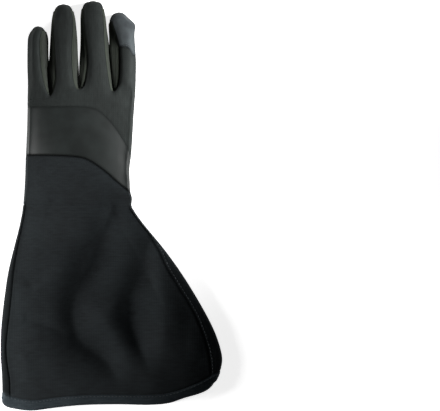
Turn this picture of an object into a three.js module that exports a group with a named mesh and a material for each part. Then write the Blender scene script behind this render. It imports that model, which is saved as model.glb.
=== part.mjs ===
// A left-hand work glove with a long flared gauntlet, lying palm down with its thumb folded under the palm.
// Units are millimetres. +Y runs to the fingertips, +X to the thumb side and +Z up from where it lies.
// The origin is on that surface, under the middle of the glove's outline.
//
// The glove is one skin of rings and rows. Each sewn panel is a wall of its own cut from that skin along the
// real seams, so that the panels meet edge to edge with a small gap and the hollow inside stays open.
import * as THREE from "three";

// Driving dimensions
const FINGER_COLUMNS = 4; // skin columns across one finger
const SEAM_GAP = 0.36; // between two sewn panels
const FINGER_HEIGHT = 15.5; // of an empty finger as it lies
const TIP_ROUNDING = 9; // length of a fingertip over which it closes
const THUMB_HEIGHT = 9; // of the thumb, pressed flat under the palm
const PALM_LIFT = 10.4; // how far the folded thumb holds the palm off the surface
const LIFT_SPREAD = 88; // how far from the thumb that lift dies away
const HAND_SEAM_INSET = 4.6; // from the outline to the hand's outer column
const EDGE_INSET = 2.6; // from the outline to where the top of the glove starts to turn down
const LEAST_HEIGHT = 6.4; // of the gauntlet's top over its underside where a fold is deepest
const SEAM_PINCH = 1.6; // how deep the gauntlet's seam pulls in the wrist

// Each panel's wall goes in from the skin. Raise lifts its outer face, except downwards.
const PANELS = {
  hand_back: { wall: 1.8, raise: 0, color: 0x303335, roughness: 0.85 },
  index_cap: { wall: 1.4, raise: 0.3, color: 0x454a4d, roughness: 0.75 },
  fourchette_little_ring: { wall: 1.2, raise: 0, color: 0x2f322c, roughness: 0.8 },
  fourchette_ring_middle: { wall: 1.2, raise: 0, color: 0x2f322c, roughness: 0.8 },
  fourchette_middle_index: { wall: 1.2, raise: 0, color: 0x2f322c, roughness: 0.8 },
  knuckle_band: { wall: 1.8, raise: 0.3, color: 0x2f3331, roughness: 0.6 },
  wrist_back: { wall: 1.8, raise: 0, color: 0x25292c, roughness: 0.9 },
  palm: { wall: 1.4, raise: 0, color: 0x2f3230, roughness: 0.75 },
  thumb_back: { wall: 1.6, raise: 0, color: 0x303335, roughness: 0.85 },
  thumb_front: { wall: 1.4, raise: 0, color: 0x2f3230, roughness: 0.75 },
  gauntlet_back: { wall: 1.6, raise: 0, color: 0x1a1d1e, roughness: 0.9 },
  gauntlet_palm: { wall: 1.6, raise: 0, color: 0x1a1d1e, roughness: 0.9 },
  gauntlet_hem: { wall: 2.0, raise: 0.4, color: 0x1c2022, roughness: 0.9 },
};

// The hand and gauntlet from above: where each edge of the outline is at a height y.
const OUTLINE = [
  { y: 113, little: -83.2, thumb: 24.4 },
  { y: 98, little: -83.4, thumb: 23.3 },
  { y: 84, little: -83.6, thumb: 22.4 },
  { y: 64, little: -84.4, thumb: 21.2 },
  { y: 46, little: -85.3, thumb: 19.8 },
  { y: 36, little: -85.7, thumb: 18.5 },
  { y: 20, little: -86.5, thumb: 19.2 },
  { y: 8, little: -87.1, thumb: 21.0 },
  { y: -2, little: -88.2, thumb: 21.3 },
  { y: -20, little: -91.7, thumb: 33.7 },
  { y: -44, little: -97.8, thumb: 53.3 },
  { y: -68, little: -103.4, thumb: 70.4 },
  { y: -92, little: -106.9, thumb: 85.4 },
  { y: -116, little: -109.6, thumb: 98.7 },
  { y: -134, little: -110.7, thumb: 106.4 },
  { y: -151, little: -110.6, thumb: 110.7 },
  { y: -160, little: -110.0, thumb: 110.2 },
  { y: -168, little: -109.5, thumb: 107.9 },
  { y: -177, little: -109.1, thumb: 103.6 },
  { y: -186, little: -108.8, thumb: 91.6 },
  { y: -194, little: -109.9, thumb: 69.6 },
];

// The seams that cross the back of the hand, from the little finger's side to the thumb's.
const CROTCH_LINE = [
  { x: -83.3, y: 108 },
  { x: -60.4, y: 110 },
  { x: -31.7, y: 116 },
  { x: 1.9, y: 114 },
  { x: 24.4, y: 113 },
];
const BAND_TOP = [
  { x: -83.4, y: 98 },
  { x: -45, y: 98.6 },
  { x: -24, y: 98 },
  { x: -14, y: 95.2 },
  { x: -3, y: 86.2 },
  { x: 7, y: 73.2 },
  { x: 14.5, y: 61 },
  { x: 20, y: 48 },
];
const BAND_BOTTOM = [
  { x: -85.1, y: 50.8 },
  { x: -58, y: 50.3 },
  { x: -30, y: 48.2 },
  { x: -19, y: 43.8 },
  { x: -5, y: 33.8 },
  { x: 8, y: 22.4 },
  { x: 19.5, y: 13.4 },
];
const WRIST_SEAM = [
  { x: -88, y: 1 },
  { x: -50, y: 1.6 },
  { x: -15, y: 0 },
  { x: 21.3, y: -2 },
];

// The gauntlet's mouth from above, round its two corners, and the hem's stitch line.
const MOUTH = [
  { x: -109.9, y: -194 },
  { x: -106.7, y: -199.6 },
  { x: -97, y: -202.6 },
  { x: -79.7, y: -204.5 },
  { x: -61.7, y: -202.2 },
  { x: -43.7, y: -200 },
  { x: -21.7, y: -198.4 },
  { x: 8.3, y: -198 },
  { x: 38.3, y: -198.6 },
  { x: 58.3, y: -196.8 },
  { x: 73, y: -192 },
  { x: 84, y: -189 },
  { x: 94, y: -185.6 },
  { x: 103.6, y: -177 },
];
const HEM_LINE = [
  { x: -108.9, y: -186 },
  { x: -98, y: -190.6 },
  { x: -79.5, y: -194 },
  { x: -61, y: -192 },
  { x: -43, y: -190 },
  { x: -21, y: -188.5 },
  { x: 8, y: -188.2 },
  { x: 36, y: -188.6 },
  { x: 56, y: -187.2 },
  { x: 71, y: -182.8 },
  { x: 82, y: -179 },
  { x: 93, y: -173.4 },
  { x: 109, y: -164.5 },
];

// How far the gauntlet's two side seams have rolled in over its top.
const SEAM_ROLL = [
  { y: 0, little: 2.8, thumb: 3.4 },
  { y: -20, little: 3.0, thumb: 3.0 },
  { y: -33, little: 3.4, thumb: 3.2 },
  { y: -47, little: 4.2, thumb: 5.9 },
  { y: -58, little: 5.0, thumb: 9.0 },
  { y: -76, little: 6.4, thumb: 10.0 },
  { y: -104, little: 7.2, thumb: 9.0 },
  { y: -120, little: 6.8, thumb: 10.4 },
  { y: -142, little: 6.0, thumb: 11.6 },
  { y: -163, little: 7.5, thumb: 11.5 },
  { y: -186, little: 9.0, thumb: 10.0 },
];

// How thick the empty hand and gauntlet lie, at their edges and over their middle.
const BODY_HEIGHT = [
  { y: 116, edge: 10, middle: 16 },
  { y: 80, edge: 9.5, middle: 17.5 },
  { y: 30, edge: 8.5, middle: 17 },
  { y: 0, edge: 7.5, middle: 15.5 },
  { y: -30, edge: 6.4, middle: 17 },
  { y: -100, edge: 5.6, middle: 18 },
  { y: -190, edge: 6, middle: 17 },
];

// Folds in the top of the gauntlet: height is the rise of a ridge, or less than 0 for a valley. Little and
// thumb are how far it reaches from its route to either side.
const FOLDS = [
  {
    height: -7.6,
    little: 15,
    thumb: 34,
    route: [
      { x: -5, y: -19 },
      { x: -12, y: -44 },
      { x: -24, y: -69 },
      { x: -36, y: -94 },
      { x: -37, y: -114 },
      { x: -30, y: -134 },
      { x: -6, y: -152 },
      { x: 8, y: -174 },
      { x: 14, y: -198 },
    ],
  },
  {
    height: -6,
    little: 10,
    thumb: 18,
    route: [
      { x: 16, y: 18 },
      { x: 4, y: 0 },
      { x: -5, y: -19 },
      { x: -12, y: -42 },
      { x: -24, y: -69 },
      { x: -34, y: -90 },
    ],
  },
  {
    height: -7,
    little: 11,
    thumb: 22,
    route: [
      { x: 40, y: -20 },
      { x: 37, y: -44 },
      { x: 29, y: -69 },
      { x: 19, y: -94 },
      { x: 19, y: -114 },
      { x: 26, y: -134 },
      { x: 35, y: -154 },
      { x: 44, y: -178 },
    ],
  },
  {
    height: -1.6,
    little: 60,
    thumb: 60,
    route: [
      { x: 30, y: -4 },
      { x: 34, y: -44 },
      { x: 30, y: -69 },
      { x: 24, y: -94 },
      { x: 24, y: -114 },
      { x: 30, y: -134 },
      { x: 38, y: -154 },
      { x: 46, y: -182 },
    ],
  },
  {
    height: 2.2,
    little: 10,
    thumb: 26,
    route: [
      { x: 43, y: -26 },
      { x: 51, y: -60 },
      { x: 54, y: -90 },
      { x: 55, y: -116 },
      { x: 53, y: -140 },
      { x: 50, y: -166 },
    ],
  },
  {
    height: 1,
    little: 9,
    thumb: 24,
    route: [
      { x: -8, y: -100 },
      { x: -1, y: -116 },
      { x: 9, y: -134 },
      { x: 18, y: -152 },
      { x: 28, y: -178 },
    ],
  },
  {
    height: 2.6,
    little: 8,
    thumb: 12,
    route: [
      { x: 14, y: 0 },
      { x: 24, y: -14 },
      { x: 38, y: -34 },
    ],
  },
  {
    height: -0.8,
    little: 14,
    thumb: 8,
    route: [
      { x: 78, y: -84 },
      { x: 76, y: -110 },
      { x: 75, y: -136 },
      { x: 73, y: -160 },
    ],
  },
  {
    height: 0.8,
    little: 8,
    thumb: 9,
    route: [
      { x: 88, y: -112 },
      { x: 88, y: -134 },
      { x: 86, y: -158 },
    ],
  },
  {
    height: -2.4,
    little: 7,
    thumb: 18,
    route: [
      { x: -99, y: -58 },
      { x: -88, y: -69 },
      { x: -74, y: -84 },
    ],
  },
  {
    height: -1,
    little: 7,
    thumb: 7,
    route: [
      { x: -88, y: -113 },
      { x: -66, y: -119 },
      { x: -42, y: -129 },
    ],
  },
];

// Each finger row by row from its root to its tip: the outline, the two seams of its back panel inside that,
// and where the row is at the finger's thumb-side edge if it isn't straight across.
const FINGERS = [
  {
    name: "little",
    columns: FINGER_COLUMNS + 1,
    tip: { y: 179.1, left: -75.5, right: -70.5 },
    rows: [
      { y: 122, left: -83.2, seamLeft: -80.2, seamRight: -66.1, right: -61.4 },
      { y: 136, left: -83.7, seamLeft: -80.7, seamRight: -69, right: -62.1 },
      { y: 150, left: -83.8, seamLeft: -80.7, seamRight: -70.4, right: -62.6 },
      { y: 162, left: -83.7, seamLeft: -80.6, seamRight: -70.8, right: -62.8 },
      { y: 169.5, left: -82.8, seamLeft: -79.9, seamRight: -69.8, right: -63.4 },
      { y: 174.7, left: -80, seamLeft: -77.6, seamRight: -68.6, right: -65.8 },
      { y: 178, left: -77, seamLeft: -76, seamRight: -70, right: -68.8 },
    ],
  },
  {
    name: "ring",
    columns: FINGER_COLUMNS,
    tip: { y: 201.4, left: -50.8, right: -44.6 },
    rows: [
      { y: 122, left: -60.4, seamLeft: -55.4, seamRight: -36.3, right: -32.3 },
      { y: 136, left: -61.3, seamLeft: -55.2, seamRight: -38.2, right: -32.8 },
      { y: 150, left: -61.5, seamLeft: -56, seamRight: -38.8, right: -33.2 },
      { y: 164, left: -60.9, seamLeft: -57.1, seamRight: -38.5, right: -33.7 },
      { y: 178, left: -60, seamLeft: -57.9, seamRight: -37.6, right: -34.8 },
      { y: 188, left: -58.9, seamLeft: -57.2, seamRight: -38, right: -36.1 },
      { y: 195, left: -56.8, seamLeft: -55.1, seamRight: -40, right: -38.4 },
      { y: 199.6, left: -53.3, seamLeft: -52.2, seamRight: -42.8, right: -41.7 },
    ],
  },
  {
    name: "middle",
    columns: FINGER_COLUMNS,
    tip: { y: 204.5, left: -21.6, right: -14.6 },
    rows: [
      { y: 122, left: -31, seamLeft: -27, seamRight: -1.3, right: 0.9 },
      { y: 136, left: -31.1, seamLeft: -24.3, seamRight: -3.5, right: -0.5 },
      { y: 150, left: -31, seamLeft: -23.8, seamRight: -5.2, right: -1.7 },
      { y: 164, left: -30.6, seamLeft: -25.3, seamRight: -6.4, right: -2.8 },
      { y: 178, left: -30.7, seamLeft: -26.9, seamRight: -6.9, right: -4.6 },
      { y: 190, left: -30.6, seamLeft: -27.9, seamRight: -7.8, right: -5.9 },
      { y: 197.4, left: -29, seamLeft: -27, seamRight: -9.4, right: -7.9 },
      { y: 202.4, left: -25.8, seamLeft: -24.6, seamRight: -11.8, right: -10.6 },
    ],
  },
  {
    name: "index",
    columns: FINGER_COLUMNS + 1,
    tip: { y: 192.9, left: 3.8, right: 12.6 },
    rows: [
      { y: 122, left: 1.9, seamLeft: 7, seamRight: 21.7, right: 24.9 },
      { y: 136, left: 0.7, seamLeft: 8.2, seamRight: 21.8, right: 25.1 },
      { y: 148, yRight: 143, left: -0.5, seamLeft: 8.2, seamRight: 21.8, right: 25.1 },
      { y: 158.6, yRight: 150.5, left: -1.1, seamLeft: 7.7, seamRight: 21.6, right: 24.8 },
      { y: 167.5, yRight: 162, left: -1.8, seamLeft: 5.9, seamRight: 20.9, right: 24 },
      { y: 176, yRight: 173.5, left: -2.5, seamLeft: 3.2, seamRight: 21, right: 23.8 },
      { y: 183, yRight: 181, left: -2.2, seamLeft: 1.2, seamRight: 21.4, right: 24 },
      { y: 189.4, yRight: 187.2, left: 0.6, seamLeft: 2.2, seamRight: 15.6, right: 17.6 },
    ],
  },
];
const CAP_FIRST_ROW = 4; // the index finger's cap starts at this row of the table, counted from 1
const FOURCHETTE_END = 1; // and a fourchette ends this many rows short of the tip

// The thumb's line under the palm from above, and its sections along it.
const THUMB_LINE = { root: [-2.5, 54], bend: [-22, 56], tip: [-50, 91] };
const THUMB_ROWS = [
  { along: 0.16, width: 46, height: 9 },
  { along: 0.36, width: 39, height: 9 },
  { along: 0.56, width: 34, height: 9 },
  { along: 0.74, width: 30.5, height: 8.8 },
  { along: 0.88, width: 26, height: 8 },
  { along: 0.96, width: 18, height: 5.8 },
];
const THUMB_TIP = { along: 1, width: 8, height: 0 };
const THUMB_ELBOW = [
  { turn: 0.15, blend: 0.2, reach: 16, width: 47 },
  { turn: 0.48, blend: 0.75, reach: 11.4, width: 50 },
  { turn: 0.76, blend: 0.95, reach: 9.8, width: 49 },
  { turn: 1, blend: 1, reach: 9, width: 48 },
];
const THUMB_HOLE = { firstRow: 2, lastRow: 6, columns: 3 }; // in the palm's grid, next to the thumb-side edge

const ROWS = { knuckles: 4, band: 3, wrist: 3, gauntlet: 17, hem: 2 };

const CROTCH_LEAN = new THREE.Vector3(0, 1, 0);

const lerp = THREE.MathUtils.lerp;
const clamp = THREE.MathUtils.clamp;
const smoothstep = THREE.MathUtils.smoothstep;

// Reads one column of a table at a place along another column, with a smooth curve through its rows.
function readTable(table, at, column, key = "y") {
  const rising = table[table.length - 1][key] > table[0][key];
  const rows = rising ? table : [...table].reverse();
  const last = rows.length - 1;
  const found = rows.findIndex((row) => row[key] > at);
  const upper = found < 0 ? last : clamp(found, 1, last);
  const [a, b] = [rows[upper - 1], rows[upper]];
  const slope = (i) => {
    const before = rows[Math.max(i - 1, 0)];
    const after = rows[Math.min(i + 1, last)];
    return (after[column] - before[column]) / (after[key] - before[key]);
  };
  const span = b[key] - a[key];
  const t = clamp((at - a[key]) / span, 0, 1);
  const bend = t * t * (3 - 2 * t);
  const start = t * (1 - t) * (1 - t) * span * slope(upper - 1);
  const end = t * t * (t - 1) * span * slope(upper);
  return lerp(a[column], b[column], bend) + start + end;
}

// The thumb's line as points, for the distance from it.
const thumbCurve = new THREE.QuadraticBezierCurve(
  new THREE.Vector2(...THUMB_LINE.root),
  new THREE.Vector2(...THUMB_LINE.bend),
  new THREE.Vector2(...THUMB_LINE.tip),
);
const thumbSamples = thumbCurve.getSpacedPoints(24);

// How far the glove is held off the surface at a place, by the thumb folded under it.
function liftAt(x, y) {
  let nearest = Infinity;
  thumbSamples.forEach((p, i) => {
    const halfWidth = lerp(24, 13, i / 24);
    nearest = Math.min(nearest, Math.hypot(p.x - x, p.y - y) - halfWidth);
  });
  return PALM_LIFT * (1 - smoothstep(nearest, 1.5, LIFT_SPREAD));
}

// The rise or dip of all the gauntlet's folds at a place. A fold fades out over its two ends.
function foldAt(x, y) {
  let total = 0;
  for (const { height, little, thumb, route } of FOLDS) {
    let best = { distance: Infinity, along: 0, side: 0 };
    route.slice(1).forEach((b, i) => {
      const a = route[i];
      const [dx, dy] = [b.x - a.x, b.y - a.y];
      const t = clamp(((x - a.x) * dx + (y - a.y) * dy) / (dx ** 2 + dy ** 2), 0, 1);
      const distance = Math.hypot(x - a.x - t * dx, y - a.y - t * dy);
      const side = dx * (y - a.y) - dy * (x - a.x);
      if (distance < best.distance) best = { distance, along: (i + t) / (route.length - 1), side };
    });
    const fade = smoothstep(best.along, 0.03, 0.15) * (1 - smoothstep(best.along, 0.68, 0.97));
    const reach = best.side > 0 ? thumb : little;
    const round = height < 0 ? 0.3 : 0.7;
    total += height * fade * Math.exp(round - Math.hypot(best.distance / reach, round));
  }
  return total * (1 - smoothstep(y, 2, 26));
}

// The skin: points, and quads that name the panel they belong to, with their outer side anticlockwise.
const points = [];
const quads = [];
const addPoint = (x, y, z) => points.push(new THREE.Vector3(x, y, z)) - 1;
const addQuad = (a, b, c, d, panel) => quads.push({ corners: [a, b, c, d], panel });

// Joins two rings of the same length with quads. The first ring is nearer the fingertips.
function joinRings(upper, lower, panelOf, closed = true) {
  const count = closed ? upper.length : upper.length - 1;
  for (let i = 0; i < count; i += 1) {
    const j = (i + 1) % upper.length;
    addQuad(upper[i], lower[i], lower[j], upper[j], panelOf(i));
  }
}

// Columns of the body: one narrow strip at each edge, and the fingers' columns between them.
const COLUMNS = 4 * FINGER_COLUMNS + 2;
const fingerStarts = [0, 1, 2, 3].map((i) => (i ? 1 + i * FINGER_COLUMNS : 0));
const crotchColumns = [1, 2, 3].map((i) => 1 + i * FINGER_COLUMNS);
const isCrotch = (j) => crotchColumns.includes(j);

// How far the outer column lies inside the outline at a height, and the first or last point inside that.
const rollAt = (y, side) => lerp(readTable(SEAM_ROLL, y, side), HAND_SEAM_INSET, smoothstep(y, -1, 14));
const edgeInset = (roll) => Math.min(EDGE_INSET, 0.45 * roll);

// A row across the hand that follows a seam, as one point for each column.
function handRow(seam) {
  const [first, last] = [seam[0], seam[seam.length - 1]];
  const [rollLeft, rollRight] = [rollAt(first.y, "little"), rollAt(last.y, "thumb")];
  return Array.from({ length: COLUMNS + 1 }, (_, j) => {
    let x = lerp(first.x + rollLeft, last.x - rollRight, (j - 1) / (COLUMNS - 2));
    if (j === 0) x = first.x + edgeInset(rollLeft);
    if (j === COLUMNS) x = last.x - edgeInset(rollRight);
    return new THREE.Vector2(x, readTable(seam, x, "y", "x"));
  });
}

// The first row: it passes through the crotches of the fingers.
function crotchRow() {
  const stops = CROTCH_LINE.map((p) => new THREE.Vector2(p.x, p.y));
  const [first, last] = [stops[0].clone(), stops[4].clone()];
  stops[0].x += HAND_SEAM_INSET;
  stops[4].x -= HAND_SEAM_INSET;
  return Array.from({ length: COLUMNS + 1 }, (_, j) => {
    if (j === 0) return first.setX(first.x + edgeInset(HAND_SEAM_INSET));
    if (j === COLUMNS) return last.setX(last.x - edgeInset(HAND_SEAM_INSET));
    const inner = (j - 1) / FINGER_COLUMNS;
    const i = Math.min(Math.floor(inner), 3);
    return stops[i].clone().lerp(stops[i + 1], inner - i);
  });
}

// A row along a curve across the gauntlet, spaced by length between its two rolled seams.
function curveRow(table) {
  const curve = new THREE.SplineCurve(table.map((p) => new THREE.Vector2(p.x, p.y)));
  curve.arcLengthDivisions = 400;
  const length = curve.getLength();
  const first = rollAt(table[0].y, "little") / length;
  const last = 1 - rollAt(table[table.length - 1].y, "thumb") / length;
  return Array.from({ length: COLUMNS + 1 }, (_, j) => {
    if (j === 0) return curve.getPointAt(EDGE_INSET / length);
    if (j === COLUMNS) return curve.getPointAt(1 - EDGE_INSET / length);
    return curve.getPointAt(lerp(first, last, (j - 1) / (COLUMNS - 2)));
  });
}

// Rows between two given rows. The ends keep to the outline, and the edge strips to the rolled seams.
function rowsBetween(from, to, count) {
  const made = [];
  for (let r = 1; r <= count; r += 1) {
    const t = r / count;
    const [left, right] = [{ y: lerp(from.left.y, to.left.y, t) }, { y: lerp(from.right.y, to.right.y, t) }];
    [left.x, right.x] = [readTable(OUTLINE, left.y, "little"), readTable(OUTLINE, right.y, "thumb")];
    const rolls = [rollAt(left.y, "little"), rollAt(right.y, "thumb")];
    const row = from.row.map((p, j) => {
      const blended = p.clone().lerp(to.row[j], t);
      if (j === 0) return blended.setX(left.x + edgeInset(rolls[0]));
      if (j === COLUMNS) return blended.setX(right.x - edgeInset(rolls[1]));
      const [startX, endX] = [1, COLUMNS - 1].map((k) => lerp(from.row[k].x, to.row[k].x, t));
      const share = (j - 1) / (COLUMNS - 2);
      return blended.setX(blended.x + lerp(left.x + rolls[0] - startX, right.x - rolls[1] - endX, share));
    });
    made.push(r === count ? to : { row, left, right });
  }
  return made;
}

// A row with the two points where it meets the outline.
const rowOf = (row, table) => ({ row, left: table[0], right: table[table.length - 1] });
const crotches = rowOf(crotchRow(), CROTCH_LINE);
const seams = [BAND_TOP, BAND_BOTTOM, WRIST_SEAM];
const [bandTop, bandBottom, wristSeam] = seams.map((seam) => rowOf(handRow(seam), seam));
const [hemLine, mouthLine] = [HEM_LINE, MOUTH].map((table) => rowOf(curveRow(table), table));
const stages = [
  { from: crotches, to: bandTop, count: ROWS.knuckles, back: "hand_back" },
  { from: bandTop, to: bandBottom, count: ROWS.band, back: "knuckle_band" },
  { from: bandBottom, to: wristSeam, count: ROWS.wrist, back: "wrist_back" },
  { from: wristSeam, to: hemLine, count: ROWS.gauntlet, back: "gauntlet_back" },
  { from: hemLine, to: mouthLine, count: ROWS.hem, back: "gauntlet_hem" },
];
const bodyRows = [{ ...crotches, back: "hand_back" }];
for (const stage of stages) {
  const added = rowsBetween(stage.from, stage.to, stage.count);
  bodyRows.push(...added.map((row) => ({ ...row, back: stage.back })));
}
const wristIndex = ROWS.knuckles + ROWS.band + ROWS.wrist;

// Height of the body's top over its underside, at a share of the way across it.
function bodyHeight(x, y, share) {
  const edge = readTable(BODY_HEIGHT, y, "edge");
  const middle = readTable(BODY_HEIGHT, y, "middle");
  const across = Math.abs(2 * share - 1);
  const crown = 1 - across ** 3;
  const pinch = SEAM_PINCH * Math.exp(-((y / 6) ** 2));
  const flat = edge + (middle - edge - pinch) * crown;
  const fold = foldAt(x, y) * Math.min(1, 2.5 * (1 - across));
  const room = Math.max(flat - LEAST_HEIGHT, 0.3);
  return flat + (fold < 0 ? fold / (1 + (fold / room) ** 4) ** 0.25 : fold);
}

// The rings of the body: back from the little finger's side, thumb-side edge, palm, the other edge.
const rings = bodyRows.map(({ row, left, right }, r) => {
  const share = (j) => (row[j].x - left.x) / (right.x - left.x);
  const palmRow = row.map((p, j) => {
    const straight = lerp(row[0].y, row[COLUMNS].y, share(j));
    return new THREE.Vector2(p.x, r > 0 && r <= wristIndex ? straight : p.y);
  });
  const back = row.map((p, j) => {
    const dip = r === 0 && isCrotch(j) ? 2.4 : 0;
    return addPoint(p.x, p.y, liftAt(p.x, p.y) + bodyHeight(p.x, p.y, share(j)) - dip);
  });
  const palm = palmRow.map((p, j) => {
    const rise = r === 0 && isCrotch(j) ? 2 : 0;
    return addPoint(p.x, p.y, liftAt(p.x, p.y) + rise);
  });
  const edgePoint = ({ x, y }) => addPoint(x, y, liftAt(x, y) + readTable(BODY_HEIGHT, y, "edge") / 2);
  return { back, palm, thumbSide: edgePoint(right), littleSide: edgePoint(left) };
});

// One ring as a loop: back, thumb side, palm from the thumb side, little finger's side.
const loopOf = (ring) => [...ring.back, ring.thumbSide, ...[...ring.palm].reverse(), ring.littleSide];

// Which panel a body quad belongs to, by its row and its place round the loop.
function bodyPanel(r, i) {
  const back = bodyRows[r].back;
  const backSide = i <= COLUMNS || i === 2 * COLUMNS + 3;
  if (back === "gauntlet_hem") return back;
  if (back === "gauntlet_back") return i > 0 && i < COLUMNS - 1 ? back : "gauntlet_palm";
  return backSide ? back : "palm";
}

// The thumb's hole is a block of palm quads next to the thumb-side edge.
const holeColumns = [COLUMNS - 1 - THUMB_HOLE.columns, COLUMNS - 1];
function isHole(r, i) {
  const j = 2 * COLUMNS + 1 - i; // palm column of the quad that starts at loop place i
  return r > THUMB_HOLE.firstRow && r <= THUMB_HOLE.lastRow && j >= holeColumns[0] && j < holeColumns[1];
}

for (let r = 1; r < rings.length; r += 1) {
  const [upper, lower] = [loopOf(rings[r - 1]), loopOf(rings[r])];
  upper.forEach((_, i) => {
    if (isHole(r, i)) return;
    const j = (i + 1) % upper.length;
    addQuad(upper[i], lower[i], lower[j], upper[j], bodyPanel(r, i));
  });
}

// The fingers. Their first ring is the part of the crotch row between two crotches.
const webs = crotchColumns.map((j) => {
  const { x, y } = points[rings[0].back[j]];
  const z = (points[rings[0].back[j]].z + points[rings[0].palm[j]].z) / 2;
  return addPoint(x, y, z);
});
const fourchettes = ["fourchette_little_ring", "fourchette_ring_middle", "fourchette_middle_index"];

// How much of its full height a finger has at a distance from its tip.
const closing = (distance) => Math.sqrt(1 - (1 - clamp(distance / TIP_ROUNDING, 0, 1)) ** 2);

// One ring of a finger: its back, thumb-side point, palm from the thumb side, and the other side's point.
function fingerRing(finger, row) {
  const { columns } = finger;
  const height = FINGER_HEIGHT * closing(finger.tip.y - row.y);
  const sunk = (FINGER_HEIGHT - height) * 0.42;
  const at = (x, y, share) => addPoint(x, y, liftAt(x, y) + sunk + height * share);
  const yAt = (u) => lerp(row.y, row.yRight ?? row.y, u ** 4);
  const across = Array.from({ length: columns + 1 }, (_, j) => j / columns);
  const bulge = (u) => 1 - Math.abs(2 * u - 1) ** 2.4;
  const backPoint = (u) => at(lerp(row.seamLeft, row.seamRight, u), yAt(u), 0.76 + 0.24 * bulge(u));
  const palmPoint = (u) => at(lerp(row.left + 2.6, row.right - 2.6, u), yAt(u), 0.2 - 0.2 * bulge(u));
  const back = across.map(backPoint);
  const thumbSide = at(row.right, yAt(1), 0.48);
  const palm = across.map(palmPoint);
  const littleSide = at(row.left, yAt(0), 0.48);
  return [...back, thumbSide, ...palm.reverse(), littleSide];
}

// The last ring is closed flat: its back and its palm share their points.
function closedRing(finger, left, right, y, z) {
  const line = Array.from({ length: finger.columns + 1 }, (_, j) => {
    const u = j / finger.columns;
    return addPoint(lerp(left, right, u), y - 0.9 * (2 * u - 1) ** 2, z);
  });
  return [...line, line[finger.columns], ...[...line].reverse(), line[0]];
}

FINGERS.forEach((finger, f) => {
  const { columns } = finger;
  const first = fingerStarts[f];
  const rootBack = rings[0].back.slice(first, first + columns + 1);
  const rootPalm = rings[0].palm.slice(first, first + columns + 1).reverse();
  const thumbSide = f < 3 ? webs[f] : rings[0].thumbSide;
  const littleSide = f > 0 ? webs[f - 1] : rings[0].littleSide;
  let lower = [...rootBack, thumbSide, ...rootPalm, littleSide];
  const panelOf = (row, i) => {
    const open = row <= finger.rows.length - FOURCHETTE_END;
    if (i < columns) return finger.name === "index" && row > CAP_FIRST_ROW ? "index_cap" : "hand_back";
    if (i > columns + 1 && i < 2 * columns + 2) return "palm";
    const towardsThumb = i <= columns + 1;
    const side = towardsThumb ? fourchettes[f] : fourchettes[f - 1];
    if (side && open) return side;
    const isUpper = i === columns || i === 2 * columns + 3;
    if (!isUpper) return "palm";
    return finger.name === "index" && row > CAP_FIRST_ROW ? "index_cap" : "hand_back";
  };
  finger.rows.forEach((row, r) => {
    const ring = fingerRing(finger, row);
    joinRings(ring, lower, (i) => panelOf(r + 1, i));
    lower = ring;
  });
  const { y, left, right } = finger.tip;
  const tipZ = liftAt((left + right) / 2, y) + FINGER_HEIGHT * 0.42;
  const tip = closedRing(finger, left, right, y, tipZ);
  joinRings(tip, lower, (i) => panelOf(finger.rows.length + 1, i));
});

// The thumb's rings start on the hole's border: crease side, far end, thumb-side edge, near end.
function holeBorder() {
  const [near, far] = [THUMB_HOLE.firstRow, THUMB_HOLE.lastRow];
  const [inner, outer] = holeColumns;
  const border = [];
  for (let r = near; r < far; r += 1) border.push(rings[r].palm[inner]);
  for (let j = inner; j < outer; j += 1) border.push(rings[far].palm[j]);
  for (let r = far; r > near; r -= 1) border.push(rings[r].palm[outer]);
  for (let j = outer; j > inner; j -= 1) border.push(rings[near].palm[j]);
  return border;
}

// A flat round-edged section, from the start of its upper side. Its two ends are half rounds.
function thumbSection(width, height) {
  const [long, short] = [THUMB_HOLE.lastRow - THUMB_HOLE.firstRow, THUMB_HOLE.columns];
  const flat = width / 2 - 0.31 * height;
  const section = [];
  for (const side of [1, -1]) {
    for (let i = 0; i < long; i += 1) section.push([side * lerp(flat, -flat, i / long), (side * height) / 2]);
    for (let i = 0; i < short; i += 1) {
      const angle = (Math.PI * i) / short;
      section.push([-side * (flat + 0.31 * height * Math.sin(angle)), (side * height * Math.cos(angle)) / 2]);
    }
  }
  return section;
}

// The thumb's back lies up against the palm, and its front on the surface. They meet along its two edges.
const thumbLong = THUMB_HOLE.lastRow - THUMB_HOLE.firstRow;
const thumbHalf = thumbLong + THUMB_HOLE.columns;
const thumbPanel = (i) => (i <= thumbLong || i === 2 * thumbHalf - 1 ? "thumb_back" : "thumb_front");

// The elbow turns the hole's border down round the crease until it faces along the thumb.
let thumbRing = holeBorder();
const border = thumbRing.map((index) => points[index]);
const [creaseX, creaseY] = THUMB_LINE.root;
THUMB_ELBOW.forEach(({ turn, blend, reach, width }, step) => {
  const angle = (turn * Math.PI) / 2;
  const bulge = 1.2 * Math.sin(2 * angle);
  const creaseZ = lerp(PALM_LIFT, THUMB_HEIGHT, turn);
  const ring = thumbSection(width, reach).map(([along, up], i) => {
    const across = lerp(border[i].x - creaseX, reach / 2 - up, blend);
    const y = lerp(border[i].y, creaseY + along, blend);
    return addPoint(creaseX + bulge + across * Math.cos(angle), y, creaseZ - across * Math.sin(angle));
  });
  joinRings(thumbRing, ring, (i) => (step === 0 ? "palm" : thumbPanel(i)));
  thumbRing = ring;
});

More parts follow.
